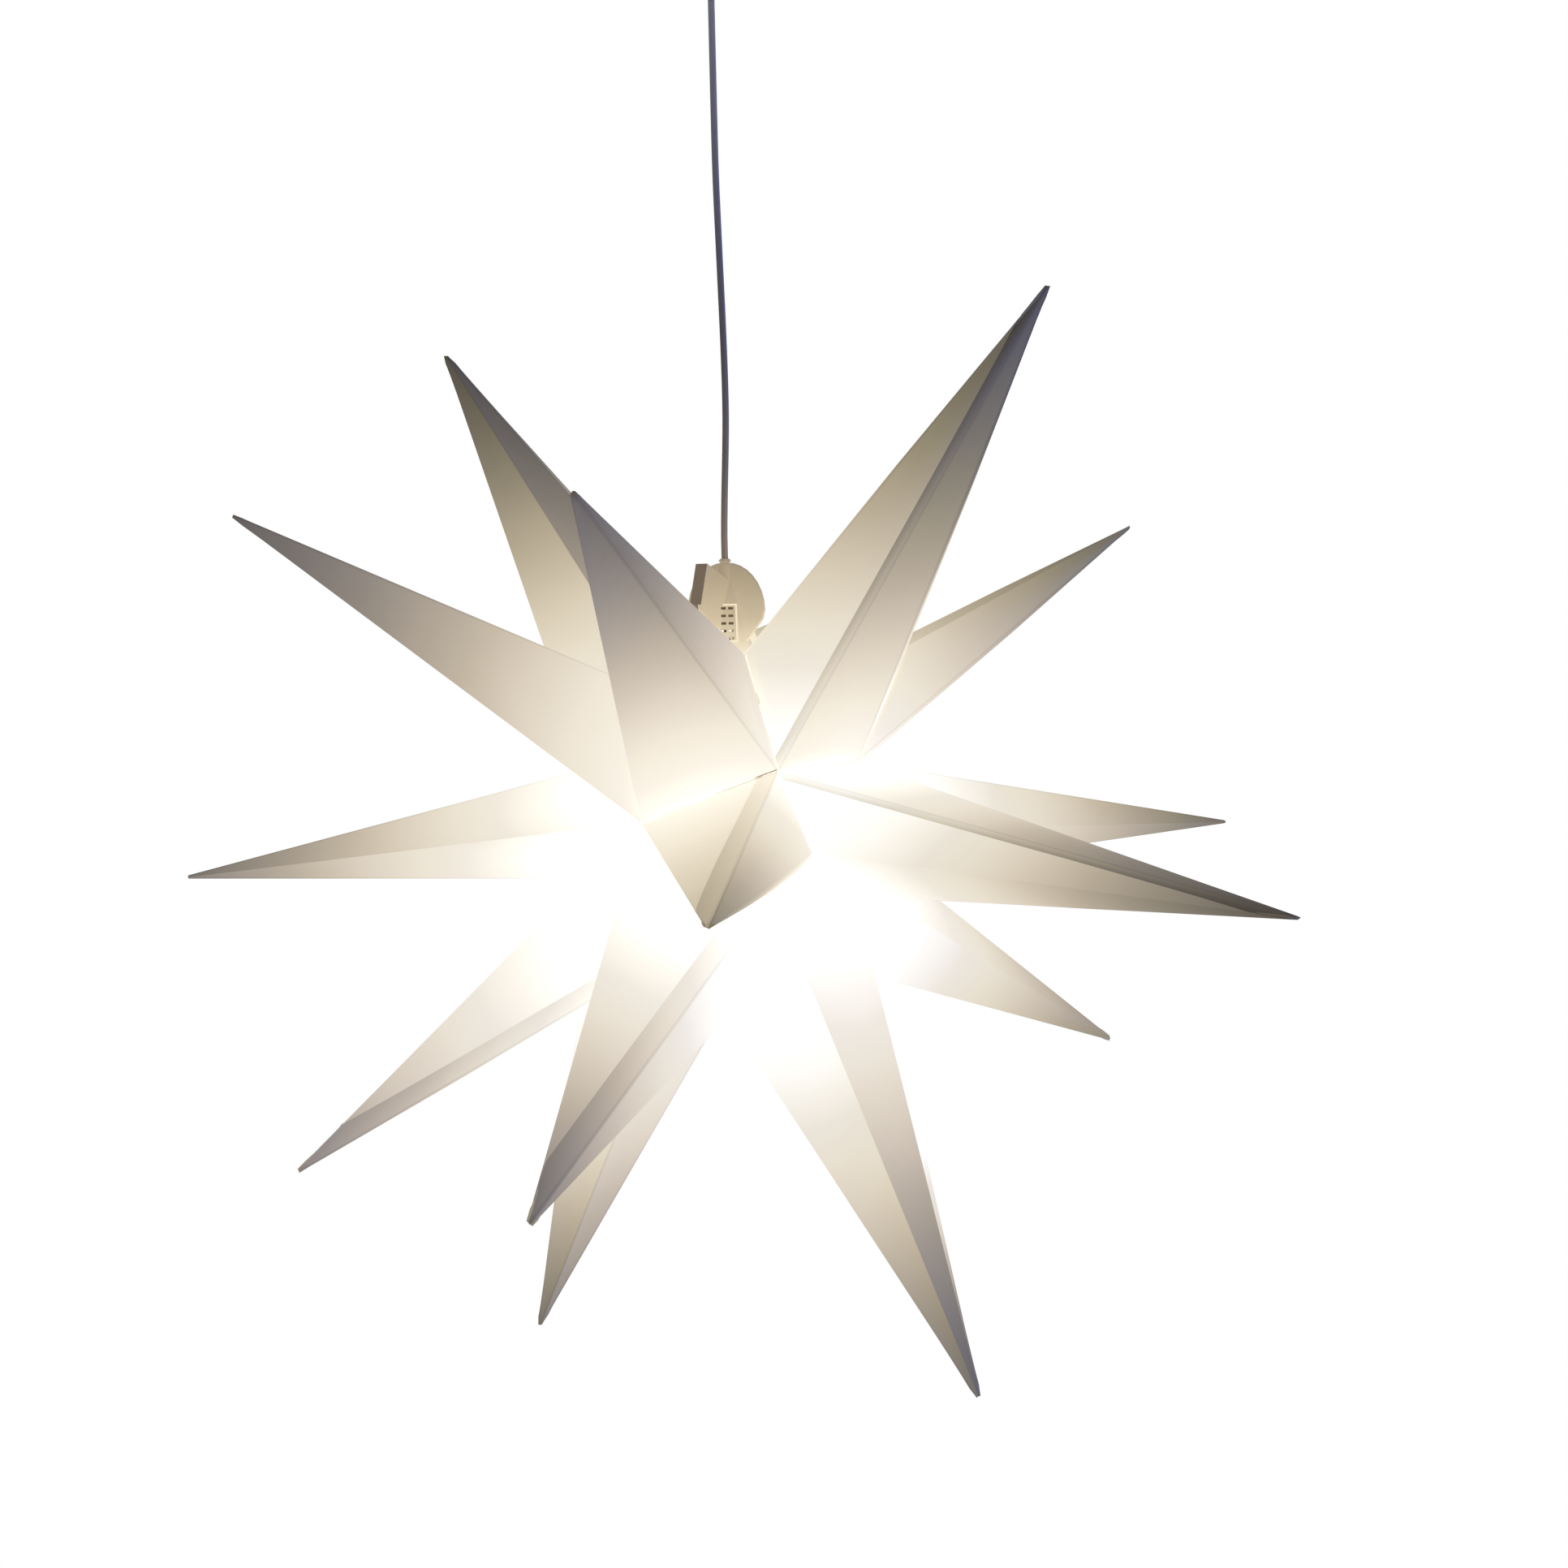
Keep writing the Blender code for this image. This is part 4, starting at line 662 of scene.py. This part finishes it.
def cap_finish():
    """Cream polypropylene, moulded, lit up through its own wall by the globe.

    The globe's light is painted in as glow. The eye sees a tan body that brightens downwards, a brown outer
    face on the front fin, because no light comes through its thickness, painted light on the rims round the
    ladders of vents, painted shade in their slots, and a painted shade on the inside.
    """
    made, tree = start_material("cream_polypropylene_moulded")
    place = add_node(tree, "ShaderNodeTexCoord").outputs["Object"]
    at = add_node(tree, "ShaderNodeSeparateXYZ", inputs={"Vector": place}).outputs
    facing = add_node(tree, "ShaderNodeNewGeometry").outputs["True Normal"]
    way = add_node(tree, "ShaderNodeSeparateXYZ", inputs={"Vector": facing}).outputs
    share = add_node(tree, "ShaderNodeMapRange",
                     inputs={"Value": at["Z"], "From Min": CAP_BRIGHT, "From Max": CAP_DIM})
    tone = add_node(tree, "ShaderNodeValToRGB", inputs={"Fac": share}, stops=[
        (0.0, "#f5eddb"), (0.22, "#d8ccb2"), (0.45, "#b8ab91"), (0.75, "#a3967d"), (1.0, "#978a74")])
    fin_face = dimmed(tree, 1.0, [(way["Y"], -0.92, -0.88, 1.0, 0.0),
                                  (at["Y"], FIN_FACE, FIN_FACE + 0.001, 1.0, 0.0)])
    # Faces that look back at the cap's own axis are its inside, which takes a painted shade
    flat = add_node(tree, "ShaderNodeVectorMath", {"operation": "MULTIPLY"}, {0: place, 1: (1, 1, 0)})
    outwards = add_node(tree, "ShaderNodeVectorMath", {"operation": "NORMALIZE"}, {0: flat})
    agreement = add_node(tree, "ShaderNodeVectorMath", {"operation": "DOT_PRODUCT"},
                         {0: outwards, 1: facing}).outputs["Value"]
    inside = dimmed(tree, 1.0, [(agreement, -0.35, -0.25, 1.0, 0.0)])
    # The tower's sides face half way between X and Y, and proud is how far a place stands out from them
    across = add_node(tree, "ShaderNodeMath", {"operation": "MULTIPLY"}, {0: way["X"], 1: way["Y"]})
    half_way = add_node(tree, "ShaderNodeMath", {"operation": "ABSOLUTE"}, {0: across})
    diagonal = add_node(tree, "ShaderNodeMath", {"operation": "GREATER_THAN"}, {0: half_way, 1: 0.3})
    reach = [add_node(tree, "ShaderNodeMath", {"operation": "ABSOLUTE"}, {0: at[axis]}) for axis in "XY"]
    total = add_node(tree, "ShaderNodeMath", {"operation": "ADD"}, {0: reach[0], 1: reach[1]})
    out = add_node(tree, "ShaderNodeMath", {"operation": "MULTIPLY"}, {0: total, 1: math.sqrt(0.5)})
    side = add_node(tree, "ShaderNodeMapRange", inputs={
        "Value": at["Z"], "From Min": TOWER_FOOT, "From Max": TOWER_TOP, "To Min": TOWER_FOOT_SIDE,
        "To Max": TOWER_TOP_SIDE})
    proud = add_node(tree, "ShaderNodeMath", {"operation": "SUBTRACT"}, {0: out, 1: side})
    # Painted light on the rims that stand proud round the vents
    rims = dimmed(tree, diagonal, [(proud, 0.0002, 0.0004, 0.0, 1.0)])
    # Painted shade in the vents' slots, between the tower's foot and top
    slots = dimmed(tree, 1.0, [
        (at["Z"], TOWER_FOOT + 0.0004, TOWER_FOOT + 0.0008, 0.0, 1.0),
        (at["Z"], TOWER_TOP - 0.0012, TOWER_TOP - 0.0008, 1.0, 0.0),
        (proud, -0.0005, -0.0003, 1.0, 0.0),
    ])
    # Lays the painted light on the rims and the painted shade on the fin's outer face, the inside and the
    # slots
    for mask, code in ((rims, "#f0e6c8"), (fin_face, "#5a4c41"), (inside, "#6b5b47"), (slots, "#a08d6e")):
        tone = add_node(tree, "ShaderNodeMix", {"data_type": "RGBA"}, {
            MIX_SHARE: mask, MIX_FIRST: tone, MIX_SECOND: hex_colour(code)}).outputs[MIX_RESULT]
    end_material(tree, {
        "Base Color": hex_colour("#aaa08e"), "Emission Color": tone, "Emission Strength": 0.85,
        **fine_grain(tree, place, 0.0007, detail=3.0, depth=0.00002, strength=0.4, rough=(0.35, 0.5))})
    return made


def globe_finish():
    """Opal polycarbonate, blown: evenly white and bright, since chips behind it light it."""
    made, tree = start_material("opal_polycarbonate_blown")
    place = add_node(tree, "ShaderNodeTexCoord").outputs["Object"]
    clouds = add_node(tree, "ShaderNodeTexNoise",
                      inputs={"Vector": place, "Scale": 1 / GLOBE_CLOUD, "Detail": 2.0})
    light = add_node(tree, "ShaderNodeValToRGB", inputs={"Fac": clouds},
                     stops=[(0.3, "#fff6e2"), (0.7, "#fffaf0")])
    end_material(tree, {"Base Color": hex_colour("#f4f1e8"), "Roughness": 0.35, "Emission Color": light,
                        "Emission Strength": 1.6})
    return made


def stage_finish():
    """Pale studio paper, evenly lit: a plain white with no marks."""
    made, tree = start_material("pale_studio_paper")
    end_material(tree, {"Base Color": hex_colour("#000000"), "Specular IOR Level": 0.0,
                        "Emission Color": hex_colour("#ffffff"), "Emission Strength": 1.0})
    return made


def dress_nodes(finishes):
    """Puts a finish on each CAD node that is named beside it."""
    for names, finish in finishes:
        for name in names:
            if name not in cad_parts:
                raise RuntimeError(f"the frame has no node {name}")
            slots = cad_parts[name].data.materials
            slots.clear()
            slots.append(finish)


def place_camera():
    """Sets the camera where the photograph was taken from."""
    view = bpy.data.cameras.new("photo_camera")
    view.lens = CAMERA_LENS
    view.sensor_width = CAMERA_SENSOR
    view.clip_end = FAR_CLIP
    camera = add_object("photo_camera", view)
    right, up = CAMERA_RIGHT.normalized(), -CAMERA_DOWN.normalized()
    back = right.cross(up)
    turn = Matrix((right, back.cross(right), back)).transposed().to_4x4()
    camera.matrix_world = Matrix.Translation(CAMERA_PLACE) @ turn
    bpy.context.scene.camera = camera


def build_sweep(settings):
    """A pale round backdrop, cut off flat at the floor. It lights nothing and takes no shadow."""
    bm = bmesh.new()
    bmesh.ops.create_uvsphere(bm, u_segments=64, v_segments=32, radius=settings.room)
    cut = bmesh.ops.bisect_plane(bm, geom=[*bm.verts, *bm.edges, *bm.faces],
                                 plane_co=(0, 0, settings.floor_height), plane_no=(0, 0, -1),
                                 clear_outer=True)
    rim = [item for item in cut["geom_cut"] if isinstance(item, bmesh.types.BMEdge)]
    bmesh.ops.contextual_create(bm, geom=rim)
    bmesh.ops.recalc_face_normals(bm, faces=bm.faces)
    bmesh.ops.reverse_faces(bm, faces=bm.faces)
    data = bpy.data.meshes.new("pale_floor")
    bm.to_mesh(data)
    bm.free()
    sweep = add_object("pale_floor", data, stage_finish())
    for ray in ("diffuse", "glossy", "transmission", "shadow"):
        setattr(sweep, "visible_" + ray, False)


def add_light(name, kind, place, aim, power):
    """Adds a stage light at a place, turned towards its aim, and gives back its data."""
    lamp = bpy.data.lights.new(name, kind)
    lamp.energy = power
    turn = (Vector(aim) - Vector(place)).to_track_quat("-Z", "Y").to_matrix().to_4x4()
    add_object(name, lamp).matrix_world = Matrix.Translation(place) @ turn
    return lamp


def light_stage(settings):
    """A cool window light, a weak warm fill, three small lights on the ceiling cup, and a dim room."""
    for name, place, size, power, tint in (
            ("window_light", WINDOW_PLACE, WINDOW_SIZE, settings.key_power, settings.window_tint),
            ("fill_light", FILL_PLACE, FILL_SIZE, settings.key_power * FILL_SHARE, settings.fill_tint)):
        lamp = add_light(name, "AREA", place, STAR_CENTRE, power)
        lamp.color = hex_colour(tint)[:3]
        lamp.size = size
    for number, degrees in enumerate(CUP_LIGHT_TURNS):
        turn = math.radians(degrees)
        place = (CUP_LIGHT_DISTANCE * math.cos(turn), CUP_LIGHT_DISTANCE * math.sin(turn), CUP_LIGHT_HEIGHT)
        lamp = add_light(f"cup_light_{number + 1}", "SPOT", place, CUP_MIDDLE, settings.cup_power)
        lamp.spot_size = CUP_BEAM
        lamp.spot_blend = CUP_BEAM_BLEND
        lamp.shadow_soft_size = CUP_LIGHT_SIZE
    world = bpy.data.worlds.new("soft_room")
    world.use_nodes = True
    background = world.node_tree.nodes["Background"].inputs
    background["Color"].default_value = hex_colour(settings.room_tint)
    background["Strength"].default_value = settings.room_light
    bpy.context.scene.world = world


class StarShadeSizes(bpy.types.PropertyGroup):
    """Sizes of the foil and its folds"""

    foil: bpy.props.FloatProperty(name="Foil", description="Thickness of the film", default=0.0004,
                                  unit="LENGTH", precision=5)
    pole_flap: bpy.props.FloatProperty(name="Pole flap", description="Width of a front or back point's weld",
                                       default=0.0078, unit="LENGTH", precision=4)
    rim_flap: bpy.props.FloatProperty(name="Rim flap", description="Width of a rim point's weld",
                                      default=0.0034, unit="LENGTH", precision=4)
    crown: bpy.props.FloatProperty(name="Crown", description="How far a facet's middle springs out",
                                   default=0.0012, unit="LENGTH", precision=4)
    cuts_across: bpy.props.IntProperty(name="Cuts across", description="Cuts across each facet", default=11)
    cuts_along: bpy.props.IntProperty(name="Cuts along", description="Cuts along each facet", default=39)


class StarShadeColours(bpy.types.PropertyGroup):
    """Colours of the lit film, from the globe out to the tips"""

    core: bpy.props.StringProperty(name="Core", description="Film beside the globe", default="#fdfbf5")
    warm: bpy.props.StringProperty(name="Warm", description="Film near the globe", default="#e4ddce")
    cream: bpy.props.StringProperty(name="Cream", description="Film half way out", default="#d2c6ae")
    tan: bpy.props.StringProperty(name="Tan", description="Film in the outer third", default="#a2967d")
    outer: bpy.props.StringProperty(name="Outer", description="Film near a tip", default="#726a54")
    tip: bpy.props.StringProperty(name="Tip", description="Film at a tip", default="#282103")
    cool_outer: bpy.props.StringProperty(name="Cool outer", description="Film near a tip, facing the room",
                                         default="#6e686b")
    cool_tip: bpy.props.StringProperty(name="Cool tip", description="Film at a tip, facing the room",
                                       default="#232023")
    slit: bpy.props.StringProperty(name="Slit", description="Shade in the die-cut slit", default="#6b5636")
    film: bpy.props.StringProperty(name="Film", description="Unlit film", default="#918f8e")
    weld_shade: bpy.props.FloatProperty(name="Weld", description="Light that a weld passes", default=0.80,
                                        min=0, max=1, subtype="FACTOR")
    fold_shade: bpy.props.FloatProperty(name="Fold", description="Light that a fold passes", default=0.92,
                                        min=0, max=1, subtype="FACTOR")


class StarCordSizes(bpy.types.PropertyGroup):
    """Sizes of the free cord"""

    diameter: bpy.props.FloatProperty(name="Diameter", description="The sheath's outside diameter",
                                      default=0.003, unit="LENGTH", precision=4)


class StarStageSettings(bpy.types.PropertyGroup):
    """Floor, backdrop and lights"""

    floor_height: bpy.props.FloatProperty(name="Floor", description="The floor's height, below the ceiling",
                                          default=-1.6, unit="LENGTH")
    room: bpy.props.FloatProperty(name="Room", description="Radius of the pale sweep", default=6.0,
                                  unit="LENGTH")
    key_power: bpy.props.FloatProperty(name="Key", description="Power of the window light", default=17.0,
                                       unit="POWER")
    cup_power: bpy.props.FloatProperty(name="Cup", description="Power of each light on the ceiling cup",
                                       default=22.0, unit="POWER")
    room_light: bpy.props.FloatProperty(name="Room light", description="Strength of the room's own light",
                                        default=0.26, min=0)
    window_tint: bpy.props.StringProperty(name="Window tint", description="Colour of the window light",
                                          default="#6c8eff")
    fill_tint: bpy.props.StringProperty(name="Fill tint", description="Colour of the fill light",
                                        default="#f3ece4")
    room_tint: bpy.props.StringProperty(name="Room tint", description="Colour of the room's own light",
                                        default="#8f8f98")


class STAR_OT_stage(bpy.types.Operator):
    """Sets the photograph's camera, the pale floor and backdrop, and the lights"""

    bl_idname = "star_lamp.stage"
    bl_label = "Stage"

    def execute(self, context):
        place_camera()
        build_sweep(context.scene.star_stage)
        light_stage(context.scene.star_stage)
        context.scene.view_settings.view_transform = "Standard"
        return {"FINISHED"}


class STAR_OT_cord(bpy.types.Operator):
    """Makes the free cord between the lamp cap and the ceiling grip"""

    bl_idname = "star_lamp.cord"
    bl_label = "Cord"

    def execute(self, context):
        build_cord(context.scene.star_cord)
        return {"FINISHED"}


class STAR_OT_shade(bpy.types.Operator):
    """Folds the eighteen foil points of the shade and dresses its hanger tabs"""

    bl_idname = "star_lamp.shade"
    bl_label = "Shade"

    def execute(self, context):
        material = foil_finish(context.scene.star_colours)
        for name, tip, corners, creases in shade_points():
            build_point(name, tip, corners, creases, context.scene.star_shade, material)
        # The same film, die-cut: cream, because the globe shines through it beside the cap
        tab = solid_finish("pearl_polypropylene_film_diecut", "#e6dfcc", "#d8cfb9", (0.45, 0.6), 0.0008,
                           glow=0.8)
        dress_nodes([([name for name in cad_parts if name.startswith("hanger_tab")], tab)])
        return {"FINISHED"}


class STAR_OT_lamp_cap(bpy.types.Operator):
    """Dresses the lamp cap, its cord relief and what is inside it"""

    bl_idname = "star_lamp.lamp_cap"
    bl_label = "Lamp cap"

    def execute(self, context):
        # Moulded ABS is a satin grey, and extruded PVC is smoother, in brown cores and a pale sheath
        grey = solid_finish("grey_abs_moulded", "#8d8b88", "#83817e", (0.4, 0.55), 0.0008)
        core = solid_finish("pvc_core_sheath_extruded", "#5b4638", "#4e3b2f", (0.35, 0.45), 0.0005)
        sheath = solid_finish("pvc_cord_tail_extruded", "#a89a8c", "#998c7f", (0.38, 0.5), 0.0006)
        dress_nodes([
            (["lamp_cap", "cord_relief"], cap_finish()), (["cord_wedge"], grey),
            (["core_live", "core_return"], core), (["cord_tail"], sheath),
        ])
        return {"FINISHED"}


class STAR_OT_holder(bpy.types.Operator):
    """Dresses the lampholder, its ring, contacts and terminals"""

    bl_idname = "star_lamp.holder"
    bl_label = "Lampholder"

    def execute(self, context):
        # Moulded PBT is a satin white, pressed brass a soft yellow gloss, and zinc plate a bluish grey one
        white = solid_finish("white_pbt_moulded", "#efece2", "#e4e0d4", (0.35, 0.5), 0.0007)
        brass = solid_finish("brass_pressed", "#c9a45c", "#b58f48", (0.25, 0.4), 0.0006, metallic=1.0)
        steel = solid_finish("zinc_plated_steel_turned", "#b9bcc0", "#a3a7ac", (0.25, 0.4), 0.0006,
                             metallic=1.0)
        dress_nodes([
            (["holder_sleeve", "holder_ring", "terminal_block"], white),
            (["contact_shell", "contact_tongue"], brass),
            (["terminal_screw_live", "terminal_screw_return"], steel),
        ])
        return {"FINISHED"}


class STAR_OT_bulb(bpy.types.Operator):
    """Dresses the small screw bulb"""

    bl_idname = "star_lamp.bulb"
    bl_label = "Bulb"

    def execute(self, context):
        # Nickel plate is a warm silver gloss, glass a near-black gloss, and the rest are satin whites
        nickel = solid_finish("nickel_plated_brass_rolled", "#cfccc4", "#b8b4aa", (0.2, 0.35), 0.0005,
                              metallic=1.0)
        black = solid_finish("black_glass_insulator", "#1b1b1d", "#141416", (0.15, 0.3), 0.0006)
        white = solid_finish("white_thermoplastic_moulded", "#efede6", "#e6e3da", (0.4, 0.55), 0.0007)
        board = solid_finish("glass_laminate_board_masked", "#e9eae6", "#dddfd9", (0.35, 0.5), 0.0005)
        dress_nodes([
            (["bulb_base", "bulb_contact"], nickel), (["bulb_insulator"], black),
            (["bulb_heat_sink"], white), (["led_board", "driver_card"], board),
            (["bulb_globe"], globe_finish()),
        ])
        return {"FINISHED"}


class STAR_OT_ceiling(bpy.types.Operator):
    """Dresses the ceiling plate, the cup and the cord grip"""

    bl_idname = "star_lamp.ceiling"
    bl_label = "Ceiling cup"

    def execute(self, context):
        # Moulded ABS is a smooth white, zinc plate a bluish grey gloss, and moulded nylon a satin grey
        white = solid_finish("white_abs_moulded", "#efeeea", "#e6e5e0", (0.3, 0.42), 0.0009)
        steel = solid_finish("zinc_plated_steel_pressed", "#b9bcc0", "#a3a7ac", (0.28, 0.42), 0.0007,
                             metallic=1.0)
        grip = solid_finish("grey_nylon_moulded", "#b9b7b2", "#adaba6", (0.4, 0.55), 0.0008)
        dress_nodes([
            (["ceiling_cup"], white), (["ceiling_plate", "grip_screw"], steel),
            (["cord_grip", "grip_nut"], grip),
        ])
        return {"FINISHED"}


class STAR_PT_panel(bpy.types.Panel):
    """Sizes, colours and steps of the star lamp"""

    bl_idname = "STAR_PT_panel"
    bl_label = "Star lamp"
    bl_space_type = "VIEW_3D"
    bl_region_type = "UI"
    bl_category = "Star lamp"

    def draw(self, context):
        for group in GROUPS:
            settings = getattr(context.scene, group)
            box = self.layout.box()
            for name in settings.__annotations__:
                box.prop(settings, name)
        for operator in OPERATORS:
            self.layout.operator(operator.bl_idname)


OPERATORS = (STAR_OT_stage, STAR_OT_cord, STAR_OT_shade, STAR_OT_lamp_cap, STAR_OT_holder, STAR_OT_bulb,
             STAR_OT_ceiling)
GROUPS = {"star_shade": StarShadeSizes, "star_colours": StarShadeColours, "star_cord": StarCordSizes,
          "star_stage": StarStageSettings}


def register():
    for each in (*GROUPS.values(), *OPERATORS, STAR_PT_panel):
        bpy.utils.register_class(each)
    for name, group in GROUPS.items():
        setattr(bpy.types.Scene, name, bpy.props.PointerProperty(type=group))


def unregister():
    for name in GROUPS:
        delattr(bpy.types.Scene, name)
    for each in reversed((*GROUPS.values(), *OPERATORS, STAR_PT_panel)):
        bpy.utils.unregister_class(each)


def main():
    """Registers the add-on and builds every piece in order."""
    register()
    bpy.ops.star_lamp.stage()
    bpy.ops.star_lamp.cord()
    bpy.ops.star_lamp.shade()
    bpy.ops.star_lamp.lamp_cap()
    bpy.ops.star_lamp.holder()
    bpy.ops.star_lamp.bulb()
    bpy.ops.star_lamp.ceiling()


if __name__ == "__main__":
    main()
